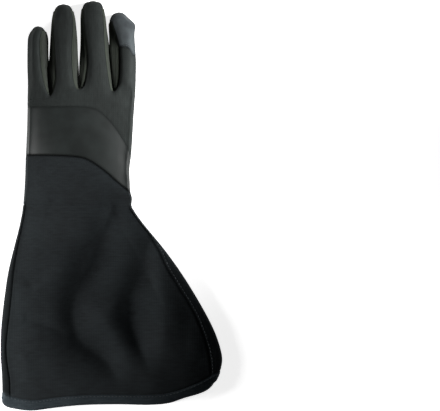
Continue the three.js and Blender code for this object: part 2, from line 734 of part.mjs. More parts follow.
// The flat tube of the thumb. At its tip the lower side and both ends share the upper side's points.
for (const { along, width, height } of [...THUMB_ROWS, THUMB_TIP]) {
  const place = thumbCurve.getPointAt(along);
  const ahead = thumbCurve.getTangentAt(along);
  const ring = thumbSection(width, height).map(([sideways, up]) => {
    return addPoint(place.x + sideways * ahead.y, place.y - sideways * ahead.x, THUMB_HEIGHT / 2 + up);
  });
  const shared = (i) => (i > thumbLong ? clamp(thumbHalf + thumbLong - i, 0, thumbLong) : i);
  const next = along === 1 ? ring.map((_, i) => ring[shared(i)]) : ring;
  joinRings(thumbRing, next, thumbPanel);
  thumbRing = next;
}

// Outward normals of the whole skin, so that two walls that meet share one mitre.
const normals = points.map(() => new THREE.Vector3());
for (const { corners } of quads) {
  const [a, b, c, d] = corners.map((index) => points[index]);
  const n = new THREE.Vector3().crossVectors(c.clone().sub(a), d.clone().sub(b));
  for (const index of corners) normals[index].add(n.clone().divideScalar(Math.sqrt(n.length()) || 1));
}
normals.forEach((n) => n.normalize());

// At a crotch the skin folds back on itself, so its normals lean towards the fingertips.
for (const j of crotchColumns) {
  for (const side of [rings[0].back, rings[0].palm]) normals[side[j]].add(CROTCH_LEAN).normalize();
}

// A quad is split along the diagonal that runs more level, so that folds keep an even crest.
function followsFold(corners) {
  const [a, b, c, d] = corners.map((index) => points[index]);
  if (new Set(corners).size < 4) return true;
  return Math.abs(a.z - c.z) + 0.02 * a.distanceTo(c) < Math.abs(b.z - d.z) + 0.02 * b.distanceTo(d);
}

// A panel as a closed wall: its outer face, its inner face, and the cut edges all round it.
function panelGeometry(name) {
  const { wall, raise } = PANELS[name];
  const triangles = [];
  for (const { corners, panel } of quads) {
    if (panel !== name) continue;
    const [a, b, c, d] = corners;
    const split = followsFold(corners) ? [[a, b, c], [a, c, d]] : [[b, c, d], [b, d, a]];
    for (const t of split) {
      if (new Set(t).size === 3) triangles.push(t);
    }
  }
  const edges = new Map();
  for (const t of triangles) {
    t.forEach((from, i) => edges.set(`${from}_${t[(i + 1) % 3]}`, [from, t[(i + 1) % 3]]));
  }
  const rim = [...edges.values()].filter(([from, to]) => !edges.has(`${to}_${from}`));
  const shift = new Map();
  for (const [from, to] of rim) {
    for (const index of [from, to]) {
      const along = points[to].clone().sub(points[from]).normalize();
      const inwards = new THREE.Vector3().crossVectors(normals[index], along).normalize();
      shift.set(index, (shift.get(index) ?? new THREE.Vector3()).add(inwards));
    }
  }
  const used = [...new Set(triangles.flat())];
  const place = new Map(used.map((index, i) => [index, i]));
  const outer = [];
  const inner = [];
  for (const index of used) {
    const p = points[index].clone();
    if (shift.has(index)) p.addScaledVector(shift.get(index).normalize(), SEAM_GAP / 2);
    p.z = Math.max(p.z, 0);
    const out = normals[index].clone();
    out.z = Math.max(out.z, 0);
    outer.push(...p.clone().addScaledVector(out, raise).toArray());
    inner.push(...p.addScaledVector(normals[index], -wall).toArray());
  }
  const count = used.length;
  const index = [];
  for (const t of triangles) {
    const [a, b, c] = t.map((i) => place.get(i));
    index.push(a, b, c, c + count, b + count, a + count);
  }
  // Both panels at a seam split its cut edge along the same diagonal, which keeps the gap between them even.
  for (const edge of rim) {
    const [from, to] = edge.map((i) => place.get(i));
    if (edge[0] < edge[1]) index.push(from, from + count, to, to, from + count, to + count);
    else index.push(from, from + count, to + count, to, from, to + count);
  }
  const geometry = new THREE.BufferGeometry();
  geometry.setAttribute("position", new THREE.Float32BufferAttribute([...outer, ...inner], 3));
  geometry.setIndex(index);
  geometry.computeVertexNormals();
  return geometry;
}

const glove = new THREE.Group();
glove.name = "gauntlet_glove";
for (const [name, { color, roughness }] of Object.entries(PANELS)) {
  const material = new THREE.MeshStandardMaterial({ color, roughness, metalness: 0 });
  const mesh = new THREE.Mesh(panelGeometry(name), material);
  mesh.name = name;
  glove.add(mesh);
}

export default glove;
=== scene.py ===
import math

import bmesh
import bpy
import numpy as np
from mathutils import Matrix, Vector, noise
from mathutils.bvhtree import BVHTree
from mathutils.kdtree import KDTree


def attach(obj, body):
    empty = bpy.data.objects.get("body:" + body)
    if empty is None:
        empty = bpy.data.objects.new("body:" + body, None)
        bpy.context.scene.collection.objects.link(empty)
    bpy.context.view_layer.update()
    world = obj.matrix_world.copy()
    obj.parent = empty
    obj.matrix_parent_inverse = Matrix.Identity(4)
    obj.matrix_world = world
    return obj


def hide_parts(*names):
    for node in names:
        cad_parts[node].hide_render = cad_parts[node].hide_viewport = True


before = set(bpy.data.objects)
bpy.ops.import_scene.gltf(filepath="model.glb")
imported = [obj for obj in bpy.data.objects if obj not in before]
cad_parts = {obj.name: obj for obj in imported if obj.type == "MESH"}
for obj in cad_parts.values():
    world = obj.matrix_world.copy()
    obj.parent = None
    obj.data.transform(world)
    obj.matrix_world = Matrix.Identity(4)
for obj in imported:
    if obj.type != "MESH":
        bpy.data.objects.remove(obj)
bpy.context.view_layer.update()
scene = bpy.context.scene
mm = 0.001
print("frame loaded")

# The sewn panels. Wall is the cloth's thickness in mm, and raise lifts a panel that lies over its neighbours.
# Flat is the width and length of its cut before sewing, in metres, and area is what the cut holds of that.
panels = {
    "hand_back": {
        "piece": "hand_back_fabric", "wall": 1.8, "raise": 0.0, "slot": "stretch_fabric",
        "flat": (0.112, 0.158), "area": 0.0091,
    },
    "index_cap": {
        "piece": "index_cap_suede", "wall": 1.4, "raise": 0.35, "slot": "suede_cap",
        "flat": (0.027, 0.045), "area": 0.00094,
    },
    "fourchette_little_ring": {
        "piece": "fourchette_little_ring_fabric", "wall": 1.2, "raise": 0.0, "slot": "fourchette_fabric",
        "flat": (0.014, 0.165), "area": 0.00174,
    },
    "fourchette_ring_middle": {
        "piece": "fourchette_ring_middle_fabric", "wall": 1.2, "raise": 0.0, "slot": "fourchette_fabric",
        "flat": (0.014, 0.17), "area": 0.00183,
    },
    "fourchette_middle_index": {
        "piece": "fourchette_middle_index_fabric", "wall": 1.2, "raise": 0.0, "slot": "fourchette_fabric",
        "flat": (0.014, 0.168), "area": 0.00175,
    },
    "knuckle_band": {
        "piece": "knuckle_band_coated", "wall": 1.8, "raise": 0.0, "slot": "coated_band",
        "flat": (0.112, 0.092), "area": 0.0057,
    },
    "wrist_back": {
        "piece": "wrist_back_fabric", "wall": 1.8, "raise": 0.0, "slot": "wrist_fabric",
        "flat": (0.112, 0.056), "area": 0.0049,
    },
    "palm": {
        "piece": "palm_leather", "wall": 1.4, "raise": 0.0, "slot": "synthetic_leather",
        "flat": (0.118, 0.21), "area": 0.02,
    },
    "thumb_back": {
        "piece": "thumb_back_fabric", "wall": 1.6, "raise": 0.0, "slot": "stretch_fabric",
        "flat": (0.044, 0.075), "area": 0.0027,
    },
    "thumb_front": {
        "piece": "thumb_front_leather", "wall": 1.4, "raise": 0.0, "slot": "synthetic_leather",
        "flat": (0.056, 0.085), "area": 0.0039,
    },
    "gauntlet_back": {
        "piece": "gauntlet_back_fabric", "wall": 1.6, "raise": 0.0, "slot": "gauntlet_fabric",
        "flat": (0.21, 0.205), "area": 0.0332,
    },
    "gauntlet_palm": {
        "piece": "gauntlet_palm_fabric", "wall": 1.6, "raise": 0.0, "slot": "gauntlet_fabric",
        "flat": (0.235, 0.205), "area": 0.0381,
    },
    "gauntlet_hem": {
        "piece": "gauntlet_hem_fabric", "wall": 2.0, "raise": 0.3, "slot": "gauntlet_hem_fabric",
        "flat": (0.45, 0.0125), "area": 0.0052,
    },
}
panelNames = list(panels)

columns = 18  # of the skin across the back of the hand, and as many across the palm
fingerColumns = 4  # of them over a finger between two crotches
crotchColumns = [5, 9, 13]


# Reads a table at a place, with a smooth curve through its rows.
def readTable(table, at, column):
    rows = sorted(table)
    last = len(rows) - 1
    upper = next((i for i, row in enumerate(rows) if row[0] > at), last)
    upper = min(max(upper, 1), last)
    low, high = rows[upper - 1], rows[upper]
    span = high[0] - low[0]
    t = min(max((at - low[0]) / span, 0), 1)
    slopes = []
    for i in (upper - 1, upper):
        before, after = rows[max(i - 1, 0)], rows[min(i + 1, last)]
        slopes.append((after[column] - before[column]) / (after[0] - before[0]) * span)
    value = low[column] + (high[column] - low[column]) * t * t * (3 - 2 * t)
    return value + t * (1 - t) ** 2 * slopes[0] + t * t * (t - 1) * slopes[1]


def mix(a, b, share):
    return a + (b - a) * share


def smoothStep(value, low, high):
    t = np.clip((value - low) / (high - low), 0, 1)
    return t * t * (3 - 2 * t)


# Many points on one smooth curve through a few stops.
def smoothLine(stops, steps=30):
    stops = [Vector(p) for p in stops]
    line = []
    for i in range(len(stops) - 1):
        before, a, b, after = stops[max(i - 1, 0)], stops[i], stops[i + 1], stops[min(i + 2, len(stops) - 1)]
        leave, arrive = (b - before) * 0.5, (after - a) * 0.5
        for k in range(steps):
            t = k / steps
            bent = (a - b) * 2 + leave + arrive
            line.append(bent * t ** 3 + ((b - a) * 3 - leave * 2 - arrive) * t * t + leave * t + a)
    return line + [stops[-1]]


# The point at a share of a line's length, and the way the line runs there.
def alongLine(line, share):
    lengths = [(b - a).length for a, b in zip(line, line[1:])]
    goal = sum(lengths) * min(max(share, 0), 1)
    for i, length in enumerate(lengths):
        if goal <= length or i == len(lengths) - 1:
            ahead = (line[i + 1] - line[i]).normalized()
            return line[i] + ahead * min(goal, length), ahead
        goal -= length


def lineLength(line):
    return sum((b - a).length for a, b in zip(line, line[1:]))


# The hand from above: its outline, the seams across its back, and how thick it lies empty.
hand = {
    "outline": [  # y, little finger's edge, thumb's edge
        (113, -83.2, 24.4), (98, -83.4, 23.3), (84, -83.6, 22.4), (64, -84.4, 21.2), (46, -85.3, 19.8),
        (36, -85.7, 18.5), (20, -86.5, 19.2), (8, -87.1, 21.0), (-2, -88.2, 21.3), (-20, -91.7, 33.7),
        (-44, -97.8, 53.3), (-68, -103.4, 70.4), (-92, -106.9, 85.4), (-116, -109.6, 98.7),
        (-134, -110.7, 106.4), (-151, -110.6, 110.7), (-160, -110.0, 110.2), (-168, -109.5, 107.9),
        (-177, -109.1, 103.6), (-186, -108.8, 91.6), (-194, -109.9, 69.6),
    ],
    "crotches": [(-83.3, 108), (-60.4, 110), (-31.7, 116), (1.9, 114), (24.4, 113)],
    "bandTop": [
        (-83.4, 98), (-45, 98.6), (-24, 98), (-14, 95.2), (-3, 86.2), (7, 73.2), (14.5, 61), (20, 48),
    ],
    "bandBottom": [
        (-85.1, 50.8), (-58, 50.3), (-30, 48.2), (-19, 43.8), (-5, 33.8), (8, 22.4), (19.5, 13.4),
    ],
    "wristSeam": [(-88, 1), (-50, 1.6), (-15, 0), (21.3, -2)],
    "thickness": [  # y, at the edges, over the middle
        (116, 10, 16), (80, 9.5, 17.5), (30, 8.5, 17), (0, 7.5, 15.5), (-30, 6.4, 17), (-100, 5.6, 18),
        (-190, 6, 17),
    ],
    "seamInset": 4.6,  # from the outline to the first column
    "edgeInset": 2.6,  # from the outline to where the top starts to turn down
    "edgeShare": 0.45,  # of the way to the seam, which that inset doesn't pass
    "seamTurn": (-1, 14),  # y over which the gauntlet's rolled seams become the hand's
    "seamPinch": 1.6,  # how deep the wrist seam pulls in
    "pinchReach": 6,  # how far along the glove that shows
    "roundness": 2.3,  # of the back: 2 is round, more is flatter over the middle
    "crotchDip": 2.4,  # of the back in each crotch of two fingers
    "crotchRise": 2,  # and of the palm
    "rows": {"knuckles": 4, "band": 3, "wrist": 3},
}

# The gauntlet: its mouth and hem from above, and how far its side seams have rolled in over the top.
gauntlet = {
    "mouth": [
        (-109.9, -194), (-106.7, -199.6), (-97, -202.6), (-79.7, -204.5), (-61.7, -202.2), (-43.7, -200),
        (-21.7, -198.4), (8.3, -198), (38.3, -198.6), (58.3, -196.8), (73, -192), (84, -189), (94, -185.6),
        (103.6, -177),
    ],
    "hemLine": [
        (-108.9, -186), (-98, -190.6), (-79.5, -194), (-61, -192), (-43, -190), (-21, -188.5), (8, -188.2),
        (36, -188.6), (56, -187.2), (71, -182.8), (82, -179), (93, -173.4), (109, -164.5),
    ],
    "seamRoll": [  # y, little finger's side, thumb's side
        (0, 2.8, 3.4), (-20, 3.0, 3.0), (-33, 3.4, 3.2), (-47, 4.2, 5.9), (-58, 5.0, 9.0), (-76, 6.4, 10.0),
        (-104, 7.2, 9.0), (-120, 6.8, 10.4), (-142, 6.0, 11.6), (-163, 7.5, 11.5), (-186, 9.0, 10.0),
    ],
    "rows": 17,
    "hemRows": 2,
}

# The thumb, folded flat under the palm: its line from above, its sections, and the turn at its root.
thumb = {
    "root": (-2.5, 54), "bend": (-22, 56), "tip": (-50, 91),
    "holeRows": (2, 6), "holeColumns": (14, 17),  # of the palm, where the thumb grows out
    "lift": 10.4,  # how far it holds the palm up
    "liftWidths": (24, 13),  # how far from its line it does so, at its root and at its tip
    "liftSpread": (1.5, 88),  # beyond that, where the lift starts to die away and where it is gone
    "crease": 9.0,  # height of its crease
    "bulge": 1.2,  # how far its root swells out halfway round the crease
    "endReach": 0.31,  # of the half-round ends of its sections, for each mm of height
    "turn": [  # share of the quarter turn, how far it has left the hole's shape, reach, width
        (0.15, 0.2, 16, 47), (0.48, 0.75, 11.4, 50), (0.76, 0.95, 9.8, 49), (1, 1, 9, 48),
    ],
    "sections": [  # share of its line, width, height
        (0.16, 46, 9), (0.36, 39, 9), (0.56, 34, 9), (0.74, 30.5, 8.8), (0.88, 26, 8), (0.96, 18, 5.8),
        (1, 8, 0),
    ],
}
thumbRoot, thumbBend, thumbTip = (Vector(thumb[place]) for place in ("root", "bend", "tip"))
thumbLine = []
for k in range(201):
    t = k / 200
    thumbLine.append(thumbRoot * (1 - t) ** 2 + thumbBend * 2 * t * (1 - t) + thumbTip * t * t)
thumbShares = [i / 24 for i in range(25)]
thumbSpots = [alongLine(thumbLine, share)[0] for share in thumbShares]


# How far the folded thumb holds the glove up at a place.
def liftAt(x, y):
    spots = zip(thumbSpots, thumbShares)
    nearest = min(math.hypot(p.x - x, p.y - y) - mix(*thumb["liftWidths"], share) for p, share in spots)
    return thumb["lift"] * (1 - float(smoothStep(nearest, *thumb["liftSpread"])))


def rollAt(y, side):
    onHand = float(smoothStep(y, *hand["seamTurn"]))
    return mix(readTable(gauntlet["seamRoll"], y, side), hand["seamInset"], onHand)


def edgeInset(roll):
    return min(hand["edgeInset"], hand["edgeShare"] * roll)


# A row of points across the hand on one of its seams.
def handRow(seam):
    rollLeft, rollRight = rollAt(seam[0][1], 1), rollAt(seam[-1][1], 2)
    row = []
    for j in range(columns + 1):
        x = mix(seam[0][0] + rollLeft, seam[-1][0] - rollRight, (j - 1) / (columns - 2))
        if j == 0:
            x = seam[0][0] + edgeInset(rollLeft)
        if j == columns:
            x = seam[-1][0] - edgeInset(rollRight)
        row.append(Vector((x, readTable(seam, x, 1))))
    return {"row": row, "left": Vector(seam[0]), "right": Vector(seam[-1])}


# The row through the crotches of the fingers.
def crotchRow(line):
    stops = [Vector(p) for p in line]
    ends = [stops[0].copy(), stops[-1].copy()]
    stops[0].x += hand["seamInset"]
    stops[-1].x -= hand["seamInset"]
    row = []
    for j in range(1, columns):
        i = min((j - 1) // fingerColumns, 3)
        row.append(stops[i].lerp(stops[i + 1], (j - 1) / fingerColumns - i))
    inset = Vector((edgeInset(hand["seamInset"]), 0))
    return {"row": [ends[0] + inset, *row, ends[1] - inset], "left": ends[0], "right": ends[1]}


# A row across the gauntlet along a curve, spaced by length between its two rolled seams.
def curveRow(stops):
    line = smoothLine(stops)
    length = lineLength(line)
    first, last = rollAt(stops[0][1], 1) / length, 1 - rollAt(stops[-1][1], 2) / length
    shares = [mix(first, last, (j - 1) / (columns - 2)) for j in range(columns + 1)]
    shares[0], shares[-1] = hand["edgeInset"] / length, 1 - hand["edgeInset"] / length
    return {"row": [alongLine(line, s)[0] for s in shares], "left": line[0], "right": line[-1]}


# Rows between two given rows, whose ends keep to the outline.
def rowsBetween(start, end, count):
    made = []
    for r in range(1, count):
        t = r / count
        left = Vector((0, mix(start["left"].y, end["left"].y, t)))
        right = Vector((0, mix(start["right"].y, end["right"].y, t)))
        left.x, right.x = readTable(hand["outline"], left.y, 1), readTable(hand["outline"], right.y, 2)
        rolls = rollAt(left.y, 1), rollAt(right.y, 2)
        first, last = [mix(start["row"][k].x, end["row"][k].x, t) for k in (1, columns - 1)]
        row = []
        for j in range(columns + 1):
            p = start["row"][j].lerp(end["row"][j], t)
            p.x += mix(left.x + rolls[0] - first, right.x - rolls[1] - last, (j - 1) / (columns - 2))
            row.append(p)
        row[0].x, row[-1].x = left.x + edgeInset(rolls[0]), right.x - edgeInset(rolls[1])
        made.append({"row": row, "left": left, "right": right})
    return made + [dict(end)]


stages = [
    (handRow(hand["bandTop"]), hand["rows"]["knuckles"], "hand_back"),
    (handRow(hand["bandBottom"]), hand["rows"]["band"], "knuckle_band"),
    (handRow(hand["wristSeam"]), hand["rows"]["wrist"], "wrist_back"),
    (curveRow(gauntlet["hemLine"]), gauntlet["rows"], "gauntlet_back"),
    (curveRow(gauntlet["mouth"]), gauntlet["hemRows"], "gauntlet_hem"),
]
bodyRows = [{**crotchRow(hand["crotches"]), "back": "hand_back"}]
start = bodyRows[0]
for end, count, back in stages:
    bodyRows += [{**row, "back": back} for row in rowsBetween(start, end, count)]
    start = end
wristRow = sum(hand["rows"].values())


# The places of one ring of the body: back, thumb's edge, palm, little finger's edge.
def ringPlaces(r):
    row, left, right = (bodyRows[r][k] for k in ("row", "left", "right"))
    back, palm = [], []
    for j, p in enumerate(row):
        share = (p.x - left.x) / (right.x - left.x)
        edge, middle = readTable(hand["thickness"], p.y, 1), readTable(hand["thickness"], p.y, 2)
        crown = 1 - abs(2 * share - 1) ** hand["roundness"]
        pinch = hand["seamPinch"] * math.exp(-((p.y / hand["pinchReach"]) ** 2))
        atCrotch = r == 0 and j in crotchColumns
        height = edge + (middle - edge - pinch) * crown - (hand["crotchDip"] if atCrotch else 0)
        back.append(Vector((p.x, p.y, liftAt(p.x, p.y) + height)))
        y = mix(row[0].y, row[-1].y, share) if 0 < r <= wristRow else p.y
        palm.append(Vector((p.x, y, liftAt(p.x, y) + (hand["crotchRise"] if atCrotch else 0))))
    sides = []
    for p in (right, left):
        sides.append(Vector((p.x, p.y, liftAt(p.x, p.y) + readTable(hand["thickness"], p.y, 1) / 2)))
    return [*back, sides[0], *reversed(palm), sides[1]]


def bodyPanel(r, i):
    back = bodyRows[r]["back"]
    if back == "gauntlet_hem":
        return back
    if back == "gauntlet_back":
        return back if 0 < i < columns - 1 else "gauntlet_palm"
    return back if i <= columns or i == 2 * columns + 3 else "palm"


# Extrudes a closed row of points to new places, and gives each new face its panel.
def growRing(bm, ring, places, panelAt):
    layer = bm.faces.layers.int["panel"]
    edges = [bm.edges.get(pair) for pair in zip(ring, ring[1:] + ring[:1])]
    made = bmesh.ops.extrude_edge_only(bm, edges=edges)["geom"]
    fresh = {v for v in made if isinstance(v, bmesh.types.BMVert)}
    grown = []
    for old, place in zip(ring, places):
        new = next(e.other_vert(old) for e in old.link_edges if e.other_vert(old) in fresh)
        new.co = place * mm
        grown.append(new)
    for i, edge in enumerate(edges):
        face = next(f for f in edge.link_faces if grown[i] in f.verts)
        face[layer] = panelNames.index(panelAt(i))
    return grown


skin = bmesh.new()
skin.faces.layers.int.new("panel")
ringLength = 2 * columns + 4
ring = bmesh.ops.create_circle(skin, segments=ringLength, radius=0.1)["verts"]
for point, place in zip(ring, ringPlaces(len(bodyRows) - 1)):
    point.co = place * mm
bodyRings = {len(bodyRows) - 1: ring}
for r in range(len(bodyRows) - 1, 0, -1):
    ring = growRing(skin, ring, ringPlaces(r - 1), lambda i: bodyPanel(r, i))
    bodyRings[r - 1] = ring
print("body rings:", len(bodyRings))

# The fingers, row by row from the root: y, left edge, left seam, right seam, right edge of the outline from
# above, and the row's y at its right edge where it isn't straight across.
fingers = {
    "little": {
        "columns": 5, "tip": (179.1, -75.5, -70.5),
        "seams": (None, "fourchette_little_ring"),
        "rows": [
            (122, -83.2, -80.2, -66.1, -61.4), (136, -83.7, -80.7, -69, -62.1),
            (150, -83.8, -80.7, -70.4, -62.6), (162, -83.7, -80.6, -70.8, -62.8),
            (169.5, -82.8, -79.9, -69.8, -63.4), (174.7, -80, -77.6, -68.6, -65.8),
            (178, -77, -76, -70, -68.8),
        ],
    },
    "ring": {
        "columns": 4, "tip": (201.4, -50.8, -44.6),
        "seams": ("fourchette_little_ring", "fourchette_ring_middle"),
        "rows": [
            (122, -60.4, -55.4, -36.3, -32.3), (136, -61.3, -55.2, -38.2, -32.8),
            (150, -61.5, -56, -38.8, -33.2), (164, -60.9, -57.1, -38.5, -33.7),
            (178, -60, -57.9, -37.6, -34.8), (188, -58.9, -57.2, -38, -36.1),
            (195, -56.8, -55.1, -40, -38.4), (199.6, -53.3, -52.2, -42.8, -41.7),
        ],
    },
    "middle": {
        "columns": 4, "tip": (204.5, -21.6, -14.6),
        "seams": ("fourchette_ring_middle", "fourchette_middle_index"),
        "rows": [
            (122, -31, -27, -1.3, 0.9), (136, -31.1, -24.3, -3.5, -0.5),
            (150, -31, -23.8, -5.2, -1.7), (164, -30.6, -25.3, -6.4, -2.8),
            (178, -30.7, -26.9, -6.9, -4.6), (190, -30.6, -27.9, -7.8, -5.9),
            (197.4, -29, -27, -9.4, -7.9), (202.4, -25.8, -24.6, -11.8, -10.6),
        ],
    },
    "index": {
        "columns": 5, "tip": (192.9, 3.8, 12.6), "cap": 4,
        "seams": ("fourchette_middle_index", None),
        "rows": [
            (122, 1.9, 7, 21.7, 24.9), (136, 0.7, 8.2, 21.8, 25.1),
            (148, -0.5, 8.2, 21.8, 25.1, 143), (158.6, -1.1, 7.7, 21.6, 24.8, 150.5),
            (167.5, -1.8, 5.9, 20.9, 24, 162), (176, -2.5, 3.2, 21, 23.8, 173.5),
            (183, -2.2, 1.2, 21.4, 24, 181), (189.4, 0.6, 2.2, 15.6, 17.6, 187.2),
        ],
    },
}
fingerShape = {
    "height": 15.5,  # of an empty finger as it lies
    "tipRounding": 9,  # the length over which a fingertip closes
    "tipHeight": 0.42,  # where it closes, as a share of the height
    "tipBow": 0.9,  # how far the corners of the last row lie back
    "backSeams": 0.76, "sides": 0.48, "palmSeams": 0.2,  # the heights of a ring's corners, as shares
    "crown": 2.4,  # of the back and of the palm: 2 is round, more is flatter over the middle
    "palmInset": 2.6,  # from the outline to the corners of the palm
    "slant": 4,  # a row that isn't straight across bends near its right end: 1 is straight, more is later
    "fourchetteEnd": 1,  # rows short of the tip where a fourchette ends
}

# Two neighbouring fingers press together up to a height y, one side bulging low and the other high.
press = {
    "upTo": {"fourchette_little_ring": 141, "fourchette_ring_middle": 141, "fourchette_middle_index": 164},
    "reach": 0.62, "lean": 0.1, "fade": 8,
}


def pressAt(seam, y):
    if not seam:
        return 0
    top, fade = press["upTo"][seam], press["fade"]
    return 1 - float(smoothStep(y, top - fade, top + fade))


# One ring of a finger, in the order of the body's ring.
def fingerPlaces(finger, row):
    y, left, seamLeft, seamRight, right = row[:5]
    yRight = row[5] if len(row) > 5 else y
    closing = min(max((finger["tip"][0] - y) / fingerShape["tipRounding"], 0), 1)
    height = fingerShape["height"] * math.sqrt(1 - (1 - closing) ** 2)
    sunk = (fingerShape["height"] - height) * fingerShape["tipHeight"]
    inset, sides = fingerShape["palmInset"], fingerShape["sides"]
    backSeams, palmSeams = fingerShape["backSeams"], fingerShape["palmSeams"]

    def at(x, u, share):
        place = Vector((x, mix(y, yRight, u ** fingerShape["slant"]), 0))
        place.z = liftAt(place.x, place.y) + sunk + height * share
        return place

    shares = [j / finger["columns"] for j in range(finger["columns"] + 1)]
    crown = {u: 1 - abs(2 * u - 1) ** fingerShape["crown"] for u in shares}
    back = [at(mix(seamLeft, seamRight, u), u, mix(backSeams, 1, crown[u])) for u in shares]
    palm = [at(mix(left + inset, right - inset, u), u, mix(palmSeams, 0, crown[u])) for u in shares]
    pressLeft, pressRight = (pressAt(seam, y) for seam in finger["seams"])
    rightSide = at(right + press["reach"] * pressRight, 1, sides - press["lean"] * pressRight)
    leftSide = at(left - press["reach"] * pressLeft, 0, sides + press["lean"] * pressLeft)
    return [*back, rightSide, *reversed(palm), leftSide]


# The last ring of a finger lies flat: its back and its palm meet.
def tipPlaces(finger):
    y, left, right = finger["tip"]
    z = liftAt((left + right) / 2, y) + fingerShape["height"] * fingerShape["tipHeight"]
    shares = [j / finger["columns"] for j in range(finger["columns"] + 1)]
    line = [Vector((mix(left, right, u), y - fingerShape["tipBow"] * (2 * u - 1) ** 2, z)) for u in shares]
    return [*line, line[-1], *reversed(line), line[0]]


def fingerPanel(finger, row, i):
    count = finger["columns"]
    capped = "cap" in finger and row > finger["cap"]
    back = "index_cap" if capped else "hand_back"
    if i < count:
        return back
    if count + 1 < i < 2 * count + 2:
        return "palm"
    seam = finger["seams"][1 if i <= count + 1 else 0]
    if seam and row <= len(finger["rows"]) - fingerShape["fourchetteEnd"]:
        return seam
    return back if i in (count, 2 * count + 3) else "palm"


# A short edge through each crotch, from the back to the palm, gives the first ring of every finger its side.
crotch = bodyRings[0]
webs = []
for j in crotchColumns:
    bridge = skin.edges.new((crotch[j], crotch[2 * (columns + 1) - j]))
    webs.append(bmesh.utils.edge_split(bridge, bridge.verts[0], 0.5)[1])
starts = [0, *crotchColumns]
for f, finger in enumerate(fingers.values()):
    places = range(starts[f], starts[f] + finger["columns"] + 1)
    thumbSide = webs[f] if f < 3 else crotch[columns + 1]
    littleSide = webs[f - 1] if f > 0 else crotch[-1]
    palmSide = [crotch[2 * (columns + 1) - j] for j in reversed(places)]
    ring = [*(crotch[j] for j in places), thumbSide, *palmSide, littleSide]
    for r, row in enumerate(finger["rows"]):
        ring = growRing(skin, ring, fingerPlaces(finger, row), lambda i: fingerPanel(finger, r + 1, i))
    growRing(skin, ring, tipPlaces(finger), lambda i: fingerPanel(finger, len(finger["rows"]) + 1, i))
print("fingers:", ", ".join(fingers))

# The thumb grows out of a hole in the palm, turns down round its crease and lies back under the hand.
near, far = thumb["holeRows"]
inner, outer = thumb["holeColumns"]


def palmPoint(r, j):
    return bodyRings[r][2 * (columns + 1) - j]


hole = []
for r in range(near + 1, far + 1):
    for j in range(inner, outer):
        corners = [palmPoint(r - 1, j), palmPoint(r - 1, j + 1), palmPoint(r, j), palmPoint(r, j + 1)]
        hole.append(next(f for f in corners[0].link_faces if all(c in f.verts for c in corners)))
ring = [palmPoint(r, inner) for r in range(near, far)]
ring += [palmPoint(far, j) for j in range(inner, outer)]
ring += [palmPoint(r, outer) for r in range(far, near, -1)]
ring += [palmPoint(near, j) for j in range(outer, inner, -1)]
bmesh.ops.delete(skin, geom=hole, context="FACES")
border = [v.co / mm for v in ring]
longSide, shortSide = far - near, outer - inner
half = longSide + shortSide


# A flat section with half-round ends, from the start of its upper side: along it, and up.
def thumbSection(width, height):
    ends = thumb["endReach"] * height
    flat = width / 2 - ends
    section = []
    for side in (1, -1):
        section += [(side * mix(flat, -flat, i / longSide), side * height / 2) for i in range(longSide)]
        for i in range(shortSide):
            angle = math.pi * i / shortSide
            section.append((-side * (flat + ends * math.sin(angle)), side * height * math.cos(angle) / 2))
    return section


def thumbPanel(i):
    return "thumb_back" if i <= longSide or i == 2 * half - 1 else "thumb_front"


creaseX, creaseY = thumb["root"]
for step, (turn, leave, reach, width) in enumerate(thumb["turn"]):
    angle = turn * math.pi / 2
    creaseZ = mix(thumb["lift"], thumb["crease"], turn)
    places = []
    for (along, up), start in zip(thumbSection(width, reach), border):
        across = mix(start.x - creaseX, reach / 2 - up, leave)
        x = creaseX + thumb["bulge"] * math.sin(2 * angle) + across * math.cos(angle)
        places.append(Vector((x, mix(start.y, creaseY + along, leave), creaseZ - across * math.sin(angle))))
    ring = growRing(skin, ring, places, lambda i: "palm" if step == 0 else thumbPanel(i))
for share, width, height in thumb["sections"]:
    place, ahead = alongLine(thumbLine, share)
    places = [
        Vector((place.x + along * ahead.y, place.y - along * ahead.x, thumb["crease"] / 2 + up))
        for along, up in thumbSection(width, height)
    ]
    if share == 1:  # at the tip the lower side and both ends meet the upper side
        upper = [i if i <= longSide else min(max(half + longSide - i, 0), longSide) for i in range(2 * half)]
        places = [places[i] for i in upper]
    ring = growRing(skin, ring, places, thumbPanel)
bmesh.ops.remove_doubles(skin, verts=skin.verts, dist=0.02 * mm)
bmesh.ops.recalc_face_normals(skin, faces=skin.faces)
print("thumb grown; skin has", len(skin.faces), "faces")


# Where a corner of the skin will lie on the smooth surface.
def smoothPlace(v):
    if v.is_boundary:
        ends = [e.other_vert(v).co for e in v.link_edges if e.is_boundary]
        return (v.co * 4 + ends[0] + ends[1]) / 6
    n = len(v.link_edges)
    centers = {f: f.calc_center_median() for f in v.link_faces}
    faceSum = sum(centers.values(), Vector())
    edgeSum, middleSum = Vector(), Vector()
    for e in v.link_edges:
        other = e.other_vert(v).co
        edgeSum += (v.co + other + sum((centers[f] for f in e.link_faces), Vector())) / 4
        middleSum += (v.co + other) / 2
    moved = (faceSum / n + middleSum * 2 / n + v.co * (n - 3)) / n
    return (moved * n * n + edgeSum * 4 + faceSum) / (n * (n + 5))


# Subdivision draws a surface inside its corners, so they move out until it passes through their places.
wanted = {v: v.co.copy() for v in skin.verts}
for attempt in range(5):
    misses = {v: place - smoothPlace(v) for v, place in wanted.items()}
    for v, miss in misses.items():
        v.co += miss
print("skin fitted to its rows, largest miss", round(max(m.length for m in misses.values()) / mm, 3), "mm")

